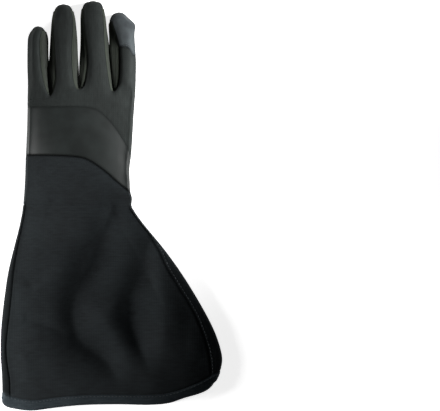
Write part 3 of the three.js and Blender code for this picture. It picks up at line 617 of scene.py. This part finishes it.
skinMesh = bpy.data.meshes.new("glove_skin")
skin.to_mesh(skinMesh)
skin.free()
skinObject = bpy.data.objects.new("glove_skin", skinMesh)
scene.collection.objects.link(skinObject)
smoother = skinObject.modifiers.new("smooth", "SUBSURF")
smoother.levels = smoother.render_levels = 3
graph = bpy.context.evaluated_depsgraph_get()
fineMesh = bpy.data.meshes.new_from_object(skinObject.evaluated_get(graph))
bpy.data.objects.remove(skinObject)
print("fine skin:", len(fineMesh.polygons), "faces")

# Folds in the top of the gauntlet: height, reach to the left and to the right of the route, and the route. A
# valley's height is less than 0. A fold is steepest beside its route and dies away gently from there.
folds = {
    "wide valley": (-7.6, 15, 34, [
        (-5, -19), (-12, -44), (-24, -69), (-36, -94), (-37, -114), (-30, -134), (-6, -152), (8, -174),
        (14, -198),
    ]),
    "top valley": (-6.6, 9, 18, [(16, 18), (4, 0), (-5, -19), (-12, -42), (-24, -69), (-34, -90)]),
    "thumb valley": (-6.4, 10, 22, [
        (40, -20), (37, -44), (29, -69), (19, -94), (19, -114), (26, -134), (35, -154), (44, -178),
    ]),
    "thumb valley top": (-2.2, 6, 9, [(40, -24), (37, -42), (31, -62), (24, -84)]),
    "slump": (-1.6, 60, 60, [
        (30, -4), (34, -44), (30, -69), (24, -94), (24, -114), (30, -134), (38, -154), (46, -182),
    ]),
    "thumb ridge": (2.2, 10, 26, [(43, -26), (51, -60), (54, -90), (55, -116), (53, -140), (50, -166)]),
    "middle ridge": (1.0, 9, 24, [(-8, -100), (-1, -116), (9, -134), (18, -152), (28, -178)]),
    "shoulder ridge": (2.6, 7, 12, [(14, 0), (24, -14), (38, -34)]),
    "corner valley": (-0.8, 14, 8, [(78, -84), (76, -110), (75, -136), (73, -160)]),
    "corner ridge": (0.8, 8, 9, [(88, -112), (88, -134), (86, -158)]),
    "edge fold": (-2.4, 7, 18, [(-99, -58), (-88, -69), (-74, -84)]),
    "low fold": (-1.0, 6, 6, [(-88, -113), (-66, -119), (-42, -129)]),
    "wrist crease": (-1.0, 4, 5, [(-62, 4), (-38, 3), (-12, -1)]),
    "wrist second crease": (-0.5, 4, 5, [(-66, -7), (-44, -9), (-20, -6)]),
    "notch crease": (-0.8, 3, 4, [(0, 12), (12, 7), (21, 2)]),
    "hem pucker": (0.8, 5, 5, [(-86, -146), (-84, -178)]),
}
foldShape = {
    "start": (0.03, 0.15), "end": (0.68, 0.97),  # shares of a route over which a fold begins and dies away
    "valley": 0.3, "ridge": 0.7,  # how round each is at its route, as a share of its reach
    "blend": 4,  # how far two stretches of a bent route run into each other
    "wristFade": (2, 26),  # y over which the folds give way to the flat hand
    "edgeFade": 0.4,  # share of the half width over which they rise from the gauntlet's edges
    "facing": (0.1, 0.6),  # upward slope of the cloth over which they begin
    "shallow": 0.3, "clear": 3.8,  # a dip deeper than this keeps so clear of the lower panel
    "leastDip": 0.2,  # left even where there is no room
}


# The rise or dip of the folds at many places. Each fades out at its ends.
def foldsAt(x, y):
    total = np.zeros_like(x)
    for height, left, right, stops in folds.values():
        route = smoothLine(stops, 4)
        best, side = np.full_like(x, 1e9), np.zeros_like(x)
        distances, alongs = [], []
        for i, (a, b) in enumerate(zip(route, route[1:])):
            d = b - a
            t = np.clip(((x - a.x) * d.x + (y - a.y) * d.y) / d.length_squared, 0, 1)
            distance = np.hypot(x - a.x - t * d.x, y - a.y - t * d.y)
            distances.append(distance)
            alongs.append((i + t) / (len(route) - 1))
            side = np.where(distance < best, d.x * (y - a.y) - d.y * (x - a.x), side)
            best = np.minimum(distance, best)
        reach = np.where(side > 0, right, left)
        weights = np.exp((best - np.array(distances)) / foldShape["blend"])
        along = (weights * np.array(alongs)).sum(0) / weights.sum(0)
        fade = smoothStep(along, *foldShape["start"]) * (1 - smoothStep(along, *foldShape["end"]))
        crest = foldShape["valley" if height < 0 else "ridge"]
        total += height * fade * np.exp(crest - np.hypot(best / reach, crest))
    return total


count = len(fineMesh.vertices)
spots, facing = np.empty(count * 3), np.empty(count * 3)
fineMesh.vertices.foreach_get("co", spots)
fineMesh.vertices.foreach_get("normal", facing)
spots, facing = spots.reshape(-1, 3) / mm, facing.reshape(-1, 3)
x, y = spots[:, 0], spots[:, 1]
outline = np.array(sorted(hand["outline"]))
leftEdge, rightEdge = np.interp(y, outline[:, 0], outline[:, 1]), np.interp(y, outline[:, 0], outline[:, 2])
fromEdge = 1 - np.abs(2 * (x - leftEdge) / (rightEdge - leftEdge) - 1)
onTop = smoothStep(facing[:, 2], *foldShape["facing"])
rise = foldsAt(x, y) * (1 - smoothStep(y, *foldShape["wristFade"]))
rise *= np.clip(fromEdge / foldShape["edgeFade"], 0, 1) * onTop
corners = [Vector(p) for p in spots]
lowerSide = BVHTree.FromPolygons(corners, [p.vertices for p in fineMesh.polygons])
for i in np.flatnonzero(rise < -foldShape["shallow"]):
    away = lowerSide.ray_cast(corners[i] - Vector((0, 0, 0.1)), Vector((0, 0, -1)))[3] or 0
    room = max(away - foldShape["clear"], foldShape["leastDip"])
    rise[i] /= (1 + (rise[i] / room) ** 4) ** 0.25  # nears the room without passing it
spots[:, 2] += rise
unevenness = {"height": 0.35, "length": 26}  # cloth that lies empty is never quite even
waves = np.array([noise.noise(Vector(p) / unevenness["length"]) for p in spots])
spots[:, 2] += waves * unevenness["height"] * onTop
spots[:, 2] = np.maximum(spots[:, 2], 0)
fineMesh.vertices.foreach_set("co", (spots * mm).ravel())
fineMesh.update()
print("folds pressed in")

# How a seam shows, with its lengths in mm: how deep it pulls in, how wide, how much the cloth swells beside
# it, and how dark its painted shade and dirt are and how far they reach.
seams = {
    "plain": (0.4, 0.9, 0.15, 0.2, 1.3),
    "band": (0.12, 0.7, 0.0, 0.95, 1.3),
    "bandTop": (0.06, 1.4, 0.0, 0.35, 1.3),
    "cap": (0.5, 0.8, 0.2, 0.65, 1.3),
    "fourchette": (0.35, 0.9, 0.3, 0.75, 1.3),
    "wrist": (0.08, 1.6, 0.0, 0.0, 1.3),
    "side": (0.5, 0.8, 0.1, 0.5, 2.2),
    "hem": (0.2, 0.8, 0.1, 0.2, 1.3),
    "mouth": (0.7, 1.2, 0.0, 0.1, 1.3),
}
seamOf = {
    frozenset(("knuckle_band", "wrist_back")): "band",
    frozenset(("hand_back", "knuckle_band")): "bandTop",
    frozenset(("hand_back", "index_cap")): "cap",
    frozenset(("hand_back", "fourchette_little_ring")): "fourchette",
    frozenset(("hand_back", "fourchette_ring_middle")): "fourchette",
    frozenset(("hand_back", "fourchette_middle_index")): "fourchette",
    frozenset(("index_cap", "fourchette_middle_index")): "fourchette",
    frozenset(("wrist_back", "gauntlet_back")): "wrist",
    frozenset(("gauntlet_back", "gauntlet_palm")): "side",
    frozenset(("gauntlet_back", "gauntlet_hem")): "hem",
    frozenset(("gauntlet_palm", "gauntlet_hem")): "hem",
}
swellPlace, swellReach = 2.4, 1.2  # where the cloth swells beside a seam and how far, in widths of the seam
raisedLip = (0.2, 2.6)  # how far from its seam a raised panel starts to rise and is at its full height
seamGap = 0.06  # how far each cut edge draws back from its seam
paintedStripShade = {  # painted shade on the lower panel where it shows along the little finger's side
    "shade": 0.5,  # how much darker the painted shade makes it than the top
    "from": (20, 60),  # how far to the little finger's side of the middle it begins
    "facing": (-0.7, -0.1),  # upward slope of the cloth over which it begins
    "seamFade": (0, 1.5),  # how far from its seam it begins and is full
}
wallLimits = {
    "through": 0.42,  # share of the way through the glove that one wall may fill
    "bend": 0.8,  # share of the radius of a bend
    "least": 0.12,
    "sink": 0.5,  # share of the wall that a seam may pull in
    "swell": 0.35,  # share of the way to the next surface that a seam may swell
}
fine = bmesh.new()
fine.from_mesh(fineMesh)
fine.normal_update()
panelLayer = fine.faces.layers.int["panel"]
placeLayer = fine.verts.layers.float_vector.new("skinPlace")
facingLayer = fine.verts.layers.float_vector.new("skinFacing")
shadeLayer = fine.verts.layers.float.new("paintedShadeAndDirt")
roomLayer = fine.verts.layers.float.new("wallRoom")
skinTree = BVHTree.FromBMesh(fine)


# How far it is from a corner of the skin to the next surface in a direction.
def freeWay(v, way):
    away = skinTree.ray_cast(v.co + way * 0.05 * mm, way)[3]
    return 50 if away is None else away / mm


# How thick the cloth may be at a corner: less than its bend's radius and than half the way through.
def thickest(v):
    near = [e.other_vert(v) for e in v.link_edges]
    bends = [(v.normal - o.normal).dot(v.co - o.co) / max((v.co - o.co).length_squared, 1e-12) for o in near]
    return min(wallLimits["through"] * freeWay(v, -v.normal), wallLimits["bend"] / max(max(bends) * mm, 0.01))


within = {v: thickest(v) for v in fine.verts}
for ring in range(2):
    within = {v: min(within[v], *(within[e.other_vert(v)] for e in v.link_edges)) for v in fine.verts}
seamPoints = []
for e in fine.edges:
    names = {panelNames[f[panelLayer]] for f in e.link_faces}
    if e.is_boundary:
        seamPoints.append((e, "mouth"))
    elif len(names) > 1:
        seamPoints.append((e, seamOf.get(frozenset(names), "plain")))
seamTree = KDTree(3 * len(seamPoints))
for k, (e, seam) in enumerate(seamPoints):
    for part, place in enumerate((e.verts[0].co, (e.verts[0].co + e.verts[1].co) / 2, e.verts[1].co)):
        seamTree.insert(place, 3 * k + part)
seamTree.balance()
moves = {}
for v in fine.verts:
    k, away = seamTree.find(v.co)[1:]
    depth, width, swell, dark, darkReach = seams[seamPoints[k // 3][1]]
    away /= mm
    v[placeLayer], v[facingLayer] = v.co, v.normal
    # painted shade and dirt along each seam
    shade = dark * math.exp(-((away / darkReach) ** 2))
    # painted shade on the lower panel's strip along the little finger's side, where it faces up or sideways
    if any(panelNames[f[panelLayer]] == "gauntlet_palm" for f in v.link_faces):
        onStrip = smoothStep(v.normal.z, *paintedStripShade["facing"]) * smoothStep(-v.co.x / mm, *paintedStripShade["from"])
        shade = max(shade, paintedStripShade["shade"] * float(smoothStep(away, *paintedStripShade["seamFade"]) * onStrip))
    v[shadeLayer] = shade
    raised = max(panels[panelNames[f[panelLayer]]]["raise"] for f in v.link_faces)
    push = raised * float(smoothStep(away, *raisedLip))
    push += swell * math.exp(-(((away - swellPlace * width) / (swellReach * width)) ** 2))
    push -= depth * math.exp(-((away / width) ** 2))
    v[roomLayer] = max(within[v], wallLimits["least"])
    push = max(push, -wallLimits["sink"] * min(v[roomLayer], 1))
    if push > 0:
        push = min(push, wallLimits["swell"] * freeWay(v, v.normal))
    moves[v] = v.normal * push * mm
for v, move in moves.items():
    v.co += move
    v.co.z = max(v.co.z, 0)
surface = BVHTree.FromBMesh(fine)
print("seams pulled in:", len(seamPoints), "seam edges")


# One panel of the skin as a cloth wall of its own, with a hair's gap to its neighbours.
def cutPanel(name):
    facts = panels[name]
    bm = fine.copy()
    layer = bm.faces.layers.int["panel"]
    place, facing = bm.verts.layers.float_vector["skinPlace"], bm.verts.layers.float_vector["skinFacing"]
    room = bm.verts.layers.float["wallRoom"]
    others = [f for f in bm.faces if panelNames[f[layer]] != name]
    bmesh.ops.delete(bm, geom=others, context="FACES")
    for v in [v for v in bm.verts if v.is_boundary]:
        inwards = sum((f.calc_center_median() for f in v.link_faces), Vector()) / len(v.link_faces) - v.co
        inwards -= v[facing] * inwards.dot(v[facing])
        shift = inwards.normalized() * seamGap * mm
        v.co += shift
        v[place] = v[place] + shift
    rim = [e for e in bm.edges if e.is_boundary]
    outside = list(bm.verts)
    copied = bmesh.ops.duplicate(bm, geom=list(bm.verts) + list(bm.edges) + list(bm.faces))
    inside = {v: copied["vert_map"][v] for v in outside}
    bmesh.ops.reverse_faces(bm, faces=[f for f in copied["geom"] if isinstance(f, bmesh.types.BMFace)])
    for v, twin in inside.items():
        twin.co = v[place] - v[facing] * min(facts["wall"], v[room]) * mm
        twin.co.z = max(twin.co.z, 0)
    made = bmesh.ops.extrude_edge_only(bm, edges=rim)["geom"]
    fresh = {v for v in made if isinstance(v, bmesh.types.BMVert)}
    for v in outside:
        for e in v.link_edges:
            if e.other_vert(v) in fresh:
                e.other_vert(v).co = inside[v].co
    bmesh.ops.remove_doubles(bm, verts=[*fresh, *inside.values()], dist=0.0005 * mm)
    for face in bm.faces:
        face.smooth = True
    for e in bm.edges:  # a cut edge is sharp
        e.smooth = e.calc_face_angle(0) < 1
    mesh = bpy.data.meshes.new(facts["piece"])
    bm.to_mesh(mesh)
    bm.free()
    piece = bpy.data.objects.new(facts["piece"], mesh)
    scene.collection.objects.link(piece)
    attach(piece, "root")
    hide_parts(name)
    return piece


pieces = {name: cutPanel(name) for name in panelNames}
print("panels cut:", len(pieces))

# Rows of thread: pitch, length and thickness of a stitch, and how far the row lies from its seam. The cap has
# two, with some way between them.
threads = {
    "hem_stitches": {"on": "gauntlet_hem", "pitch": 3.6, "length": 2.4, "thick": 0.6, "lead": 1.8},
    "side_stitches": {"on": "gauntlet_palm", "pitch": 3.4, "length": 2.2, "thick": 0.5, "lead": 2.2},
    "cap_stitches": {"on": "index_cap", "pitch": 2.6, "length": 1.9, "thick": 0.5, "lead": 1.5, "apart": 1.9},
}


# Lays stitches along a line on the skin. A stitch is a small rounded bar with its ends sunk in the cloth.
def sewLine(bm, line, facts, fromBelow=False):
    count = round(lineLength(line) / facts["pitch"])
    for k in range(count):
        spot, ahead = alongLine(line, (k + 0.5) / count)
        origin = Vector((spot.x * mm, spot.y * mm, -0.1 if fromBelow else 0.1))
        down = Vector((0, 0, 1 if fromBelow else -1))
        place, normal = surface.ray_cast(origin, down)[:2]
        if place is None:
            continue
        forward = Vector((ahead.x, ahead.y, 0))
        forward = (forward - normal * forward.dot(normal)).normalized()
        turned = Matrix((forward, normal.cross(forward), normal)).transposed().to_4x4()
        long, thick = facts["length"] / 2 * mm, facts["thick"] / 2 * mm
        size = Matrix.Diagonal((long, thick, thick, 1))
        laid = Matrix.Translation(place) @ turned @ size
        bmesh.ops.create_uvsphere(bm, u_segments=6, v_segments=4, radius=1, matrix=laid)


def offsetLine(line, away):
    moved = []
    for i, p in enumerate(line):
        ahead = (line[min(i + 1, len(line) - 1)] - line[max(i - 1, 0)]).normalized()
        moved.append(p + Vector((-ahead.y, ahead.x)) * away)
    return moved


def finishThread(name, bm):
    for v in bm.verts:
        v.co.z = max(v.co.z, 0)
    for face in bm.faces:
        face.smooth = True
    mesh = bpy.data.meshes.new(name)
    bm.to_mesh(mesh)
    bm.free()
    piece = bpy.data.objects.new(name, mesh)
    scene.collection.objects.link(piece)
    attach(piece, "root")
    return piece


hemRow = [p for p in bodyRows if p["back"] == "gauntlet_back"][-1]["row"]
hemStitches = bmesh.new()
hemSewn = offsetLine(smoothLine([tuple(p) for p in hemRow], 6), -threads["hem_stitches"]["lead"])
sewLine(hemStitches, hemSewn, threads["hem_stitches"])
sewLine(hemStitches, hemSewn, threads["hem_stitches"], fromBelow=True)
sideStitches = bmesh.new()
gauntletRows = [row for row in bodyRows if row["back"] == "gauntlet_back"]
sideSeam = smoothLine([tuple(row["row"][columns - 1]) for row in gauntletRows], 6)[:-2]
sewLine(sideStitches, offsetLine(sideSeam, threads["side_stitches"]["lead"]), threads["side_stitches"])
capStitches = bmesh.new()
capRow = fingers["index"]["rows"][fingers["index"]["cap"] - 1]
capLine = []
for u in (0.06, 0.25, 0.5, 0.75, 0.94):
    capLine.append((mix(capRow[2], capRow[3], u), mix(capRow[0], capRow[5], u ** fingerShape["slant"])))
for row in range(2):
    away = threads["cap_stitches"]["lead"] + row * threads["cap_stitches"]["apart"]
    sewLine(capStitches, offsetLine(smoothLine(capLine, 8), away), threads["cap_stitches"])
pieces["hem_stitches"] = finishThread("hem_stitches", hemStitches)
pieces["side_stitches"] = finishThread("side_stitches", sideStitches)
pieces["cap_stitches"] = finishThread("cap_stitches", capStitches)
print("stitches sewn")


def linear(hexColor):
    parts = [int(hexColor[i : i + 2], 16) / 255 for i in (1, 3, 5)]
    return [p / 12.92 if p <= 0.04045 else ((p + 0.055) / 1.055) ** 2.4 for p in parts] + [1]


# Adds a node: settings in lower case are its own, the others are input values.
def addNode(tree, kind, settings=(), links=()):
    node = tree.nodes.new(kind)
    for key, value in dict(settings).items():
        if isinstance(key, str) and key[0].islower():
            setattr(node, key, value)
        else:
            node.inputs[key].default_value = value
    for key, source in dict(links).items():
        tree.links.new(source, node.inputs[key])
    return node


def startMaterial(name, facts):
    material = bpy.data.materials.new(name)
    material.use_nodes = True
    tree = material.node_tree
    shader = tree.nodes["Principled BSDF"]
    for key in ("Roughness", "IOR", "Specular IOR Level", "Sheen Weight", "Sheen Roughness"):
        if key in facts:
            shader.inputs[key].default_value = facts[key]
    return material, tree, shader


# Mixes a colour towards its seam colour by painted shade and dirt at seams and on the strip, and dulls its
# gloss.
def paintShadeAndDirt(tree, shader, color, facts):
    seam = addNode(tree, "ShaderNodeAttribute", {"attribute_name": "paintedShadeAndDirt"})
    shade = seam.outputs["Fac"]
    # the seam colour, which painted shade and dirt mix in
    shadeAndDirtTone = {"data_type": "RGBA", 7: linear(facts["seam"])}
    dressed = addNode(tree, "ShaderNodeMix", shadeAndDirtTone, {0: shade, 6: color})
    tree.links.new(dressed.outputs[2], shader.inputs["Base Color"])
    gloss = facts["Specular IOR Level"]
    dulled = addNode(tree, "ShaderNodeMath", {"operation": "MULTIPLY_ADD", 1: -gloss, 2: gloss}, {0: shade})
    tree.links.new(dulled.outputs[0], shader.inputs["Specular IOR Level"])


patchSize = 38  # of the soft patches in every cloth's colour, in mm


# Cloth of spun yarn: two crossing sets of threads in relief, and a heathered colour streaked along the yarn.
def makeCloth(name, facts):
    material, tree, shader = startMaterial(name, facts)
    coords = addNode(tree, "ShaderNodeTexCoord").outputs["Object"]
    turn = {"Rotation": (0, 0, math.radians(facts["turned"]))}
    turned = addNode(tree, "ShaderNodeMapping", turn, {"Vector": coords}).outputs[0]
    perThread = math.pi / 10 / (facts["pitch"] * mm)  # a wave's bands come ten to a turn of its scale
    yarns = {"Scale": perThread, "Distortion": 1.2, "Detail": 1.0, "Detail Scale": 2.0}
    weft = addNode(tree, "ShaderNodeTexWave", {"bands_direction": "X", **yarns}, {"Vector": turned})
    warp = addNode(tree, "ShaderNodeTexWave", {"bands_direction": "Y", **yarns}, {"Vector": turned})
    crossing = {0: weft.outputs["Fac"], 1: warp.outputs["Fac"]}
    weave = addNode(tree, "ShaderNodeMath", {"operation": "MULTIPLY"}, crossing).outputs[0]
    long, short = (1 / (length * mm) for length in facts["streak"])
    drawn = addNode(tree, "ShaderNodeMapping", {"Scale": (long, short, short)}, {"Vector": turned}).outputs[0]
    streaky = {"Scale": 1.0, "Detail": 2.0, "Roughness": 0.6}
    streaks = addNode(tree, "ShaderNodeTexNoise", streaky, {"Vector": drawn}).outputs["Fac"]
    patchy = {"Scale": 1 / (patchSize * mm), "Detail": 3.0, "Roughness": 0.55}
    patches = addNode(tree, "ShaderNodeTexNoise", patchy, {"Vector": coords}).outputs["Fac"]
    evenly = {"data_type": "FLOAT", 0: 0.5}
    heather = addNode(tree, "ShaderNodeMix", evenly, {2: streaks, 3: patches}).outputs[0]
    crossed = {"operation": "MULTIPLY_ADD", 1: 0.07}  # how far the weave itself shows in the colour
    woven = addNode(tree, "ShaderNodeMath", crossed, {0: weave, 2: heather}).outputs[0]
    contrast = {"From Min": 0.36, "From Max": 0.7}
    share = addNode(tree, "ShaderNodeMapRange", contrast, {"Value": woven}).outputs[0]
    tones = {"data_type": "RGBA", 6: linear(facts["dark"]), 7: linear(facts["light"])}
    paintShadeAndDirt(tree, shader, addNode(tree, "ShaderNodeMix", tones, {0: share}).outputs[2], facts)
    raised = {"operation": "MULTIPLY_ADD", 1: 0.6}  # how far the streaks stand up beside the weave
    relief = addNode(tree, "ShaderNodeMath", raised, {0: streaks, 2: weave}).outputs[0]
    depth = {"Strength": facts["relief"], "Distance": 0.4 * mm}
    bump = addNode(tree, "ShaderNodeBump", depth, {"Height": relief})
    tree.links.new(bump.outputs[0], shader.inputs["Normal"])
    return material


# A brushed or coated skin: fine grain in relief, and soft patches of tone and gloss.
def makeSkin(name, facts):
    material, tree, shader = startMaterial(name, facts)
    coords = addNode(tree, "ShaderNodeTexCoord").outputs["Object"]
    pebbles = {"Scale": 1 / (facts["grain"] * mm)}
    grain = addNode(tree, "ShaderNodeTexVoronoi", pebbles, {"Vector": coords}).outputs["Distance"]
    patchy = {"Scale": 1 / (facts["patch"] * mm), "Detail": 4.0}
    patches = addNode(tree, "ShaderNodeTexNoise", patchy, {"Vector": coords}).outputs["Fac"]
    contrast = {"From Min": 0.35, "From Max": 0.65}
    share = addNode(tree, "ShaderNodeMapRange", contrast, {"Value": patches}).outputs[0]
    tones = {"data_type": "RGBA", 6: linear(facts["dark"]), 7: linear(facts["light"])}
    paintShadeAndDirt(tree, shader, addNode(tree, "ShaderNodeMix", tones, {0: share}).outputs[2], facts)
    spread = {"To Min": facts["Roughness"] - 0.05, "To Max": facts["Roughness"] + 0.05}
    rough = addNode(tree, "ShaderNodeMapRange", spread, {"Value": patches})
    tree.links.new(rough.outputs[0], shader.inputs["Roughness"])
    depth = {"Strength": facts["relief"], "Distance": 0.3 * mm}
    bump = addNode(tree, "ShaderNodeBump", depth, {"Height": grain})
    tree.links.new(bump.outputs[0], shader.inputs["Normal"])
    return material


# Pitch, streak, grain and patch are sizes in mm: of the threads, along and across a streak, of the pebbles
# and of the patches of tone. Real yarns lie 0.3 to 0.5 mm apart, too fine for the render, and these wider.
# Seam is the colour that painted shade and dirt mix a finish towards at its seams and, for the softshell, on
# the lower panel's strip; the fourchettes' is paler, for a pale rim.
fabric = {
    "Roughness": 0.85, "IOR": 1.5, "Specular IOR Level": 0.15, "Sheen Weight": 0.03, "Sheen Roughness": 0.5,
}
finishes = {
    # matt, slightly blue knit with fine upright ribs
    "stretchKnit": makeCloth("stretch knit polyester", {
        **fabric,
        "dark": "#1a1d1c", "light": "#252928", "seam": "#101211",
        "pitch": 2.2, "streak": (2.0, 7.0), "turned": 0, "relief": 0.12,
    }),
    # thinner olive knit, a little shiny where it is stretched
    "fourchetteKnit": makeCloth("elastane side knit", {
        **fabric, "Roughness": 0.75,
        "dark": "#21241f", "light": "#2c302b", "seam": "#3a3f38",
        "pitch": 2.0, "streak": (2.0, 5.0), "turned": 0, "relief": 0.25,
    }),
    # dense matt cloth with faint streaks across the glove
    "softshell": makeCloth("gauntlet softshell", {
        **fabric, "Roughness": 0.92,
        "dark": "#15181a", "light": "#202527", "seam": "#040505",
        "pitch": 2.4, "streak": (11.0, 1.8), "turned": 0, "relief": 0.18,
    }),
    # the same cloth turned double and paler, partly where it is rubbed and partly as painted light
    "hemSoftshell": makeCloth("hem softshell, rubbed and painted paler", {
        **fabric, "Roughness": 0.92,
        "dark": "#21282c", "light": "#333a3e", "seam": "#08090a",
        "pitch": 2.4, "streak": (9.0, 1.8), "turned": 0, "relief": 0.18,
    }),
    # soft nap in pale smudges
    "suede": makeSkin("brushed synthetic suede", {
        **fabric, "Roughness": 0.88, "Sheen Weight": 0.08,
        "dark": "#2f3335", "light": "#3b4042", "seam": "#17191a",
        "grain": 1.8, "patch": 9, "relief": 0.2,
    }),
    # smooth film with a wide soft gloss
    "coatedFabric": makeSkin("polyurethane coated fabric", {
        **fabric, "Roughness": 0.5, "Specular IOR Level": 0.34,
        "dark": "#141817", "light": "#1b201f", "seam": "#080908",
        "grain": 2.2, "patch": 16, "relief": 0.05,
    }),
    # pebbled grain with a low gloss
    "syntheticLeather": makeSkin("synthetic leather", {
        **fabric, "Roughness": 0.6, "Specular IOR Level": 0.3,
        "dark": "#1b1e1d", "light": "#292c2a", "seam": "#101110",
        "grain": 2.2, "patch": 22, "relief": 0.3,
    }),
    # slightly shiny twisted filament, a shade paler than the cloth round it
    "thread": makeCloth("polyester thread", {
        **fabric, "Roughness": 0.55, "Specular IOR Level": 0.3,
        "dark": "#292e31", "light": "#3a4043", "seam": "#2c3033",
        "pitch": 0.8, "streak": (1.0, 1.0), "turned": 45, "relief": 0.1,
    }),
}
dressed = {
    "hand_back": "stretchKnit", "index_cap": "suede",
    "knuckle_band": "coatedFabric", "wrist_back": "softshell",
    "fourchette_little_ring": "fourchetteKnit", "fourchette_ring_middle": "fourchetteKnit",
    "fourchette_middle_index": "fourchetteKnit", "palm": "syntheticLeather",
    "thumb_back": "stretchKnit", "thumb_front": "syntheticLeather",
    "gauntlet_back": "softshell", "gauntlet_palm": "softshell", "gauntlet_hem": "hemSoftshell",
    "hem_stitches": "thread", "side_stitches": "thread", "cap_stitches": "thread",
}
for name, finish in dressed.items():
    pieces[name].data.materials.clear()
    pieces[name].data.materials.append(finishes[finish])
    for face in pieces[name].data.polygons:
        face.material_index = 0
print("materials set:", len(finishes))

# The floor, the lights and the camera of the photograph, in metres.
stage = {"floor": "#fafafa", "size": 6.0, "glow": 0.8, "world": 0.052}
ground = bmesh.new()
bmesh.ops.create_grid(ground, x_segments=1, y_segments=1, size=stage["size"] / 2)
floorMesh = bpy.data.meshes.new("floor")
ground.to_mesh(floorMesh)
ground.free()
floor = bpy.data.objects.new("floor", floorMesh)
scene.collection.objects.link(floor)
# matt white sheet with an even glow, so that only a faint shade falls on it
sheet = {"Roughness": 0.9, "IOR": 1.49}
floorMaterial, _, floorShader = startMaterial("matt white acrylic, lit from below", sheet)
floorShader.inputs["Base Color"].default_value = linear(stage["floor"])
floorShader.inputs["Emission Color"].default_value = (1, 1, 1, 1)
floorShader.inputs["Emission Strength"].default_value = stage["glow"]
floorMesh.materials.append(floorMaterial)

world = bpy.data.worlds.new("studio")
scene.world = world
world.use_nodes = True
world.node_tree.nodes["Background"].inputs["Color"].default_value = (1, 1, 1, 1)
world.node_tree.nodes["Background"].inputs["Strength"].default_value = stage["world"]

lamps = {
    "hand_light": {
        "place": (0.46, 0.23, 0.26), "aim": (0.05, 0.12, 0.0), "size": 0.18, "power": 0.57, "spread": 40,
    },
    "gauntlet_light": {
        "place": (-0.82, -0.22, 0.18), "aim": (-0.03, -0.20, 0.0), "size": 0.28, "power": 3.1, "spread": 75,
    },
}
for name, lamp in lamps.items():
    light = bpy.data.lights.new(name, "AREA")
    light.shape = "DISK"
    light.size = lamp["size"]
    light.energy = lamp["power"]
    light.spread = math.radians(lamp["spread"])
    holder = bpy.data.objects.new(name, light)
    holder.location = lamp["place"]
    holder.rotation_euler = (Vector(lamp["aim"]) - Vector(lamp["place"])).to_track_quat("-Z", "Y").to_euler()
    scene.collection.objects.link(holder)

view = {"middle": (0.1086, 0.0002), "height": 4.4, "width": 0.44}
camera = bpy.data.cameras.new("camera")
camera.lens = camera.sensor_width * view["height"] / view["width"]
camera.clip_end = 20
cameraObject = bpy.data.objects.new("camera", camera)
cameraObject.location = (*view["middle"], view["height"])
scene.collection.objects.link(cameraObject)
scene.camera = cameraObject
scene.view_settings.view_transform = "Standard"
print("floor, lights and camera placed")
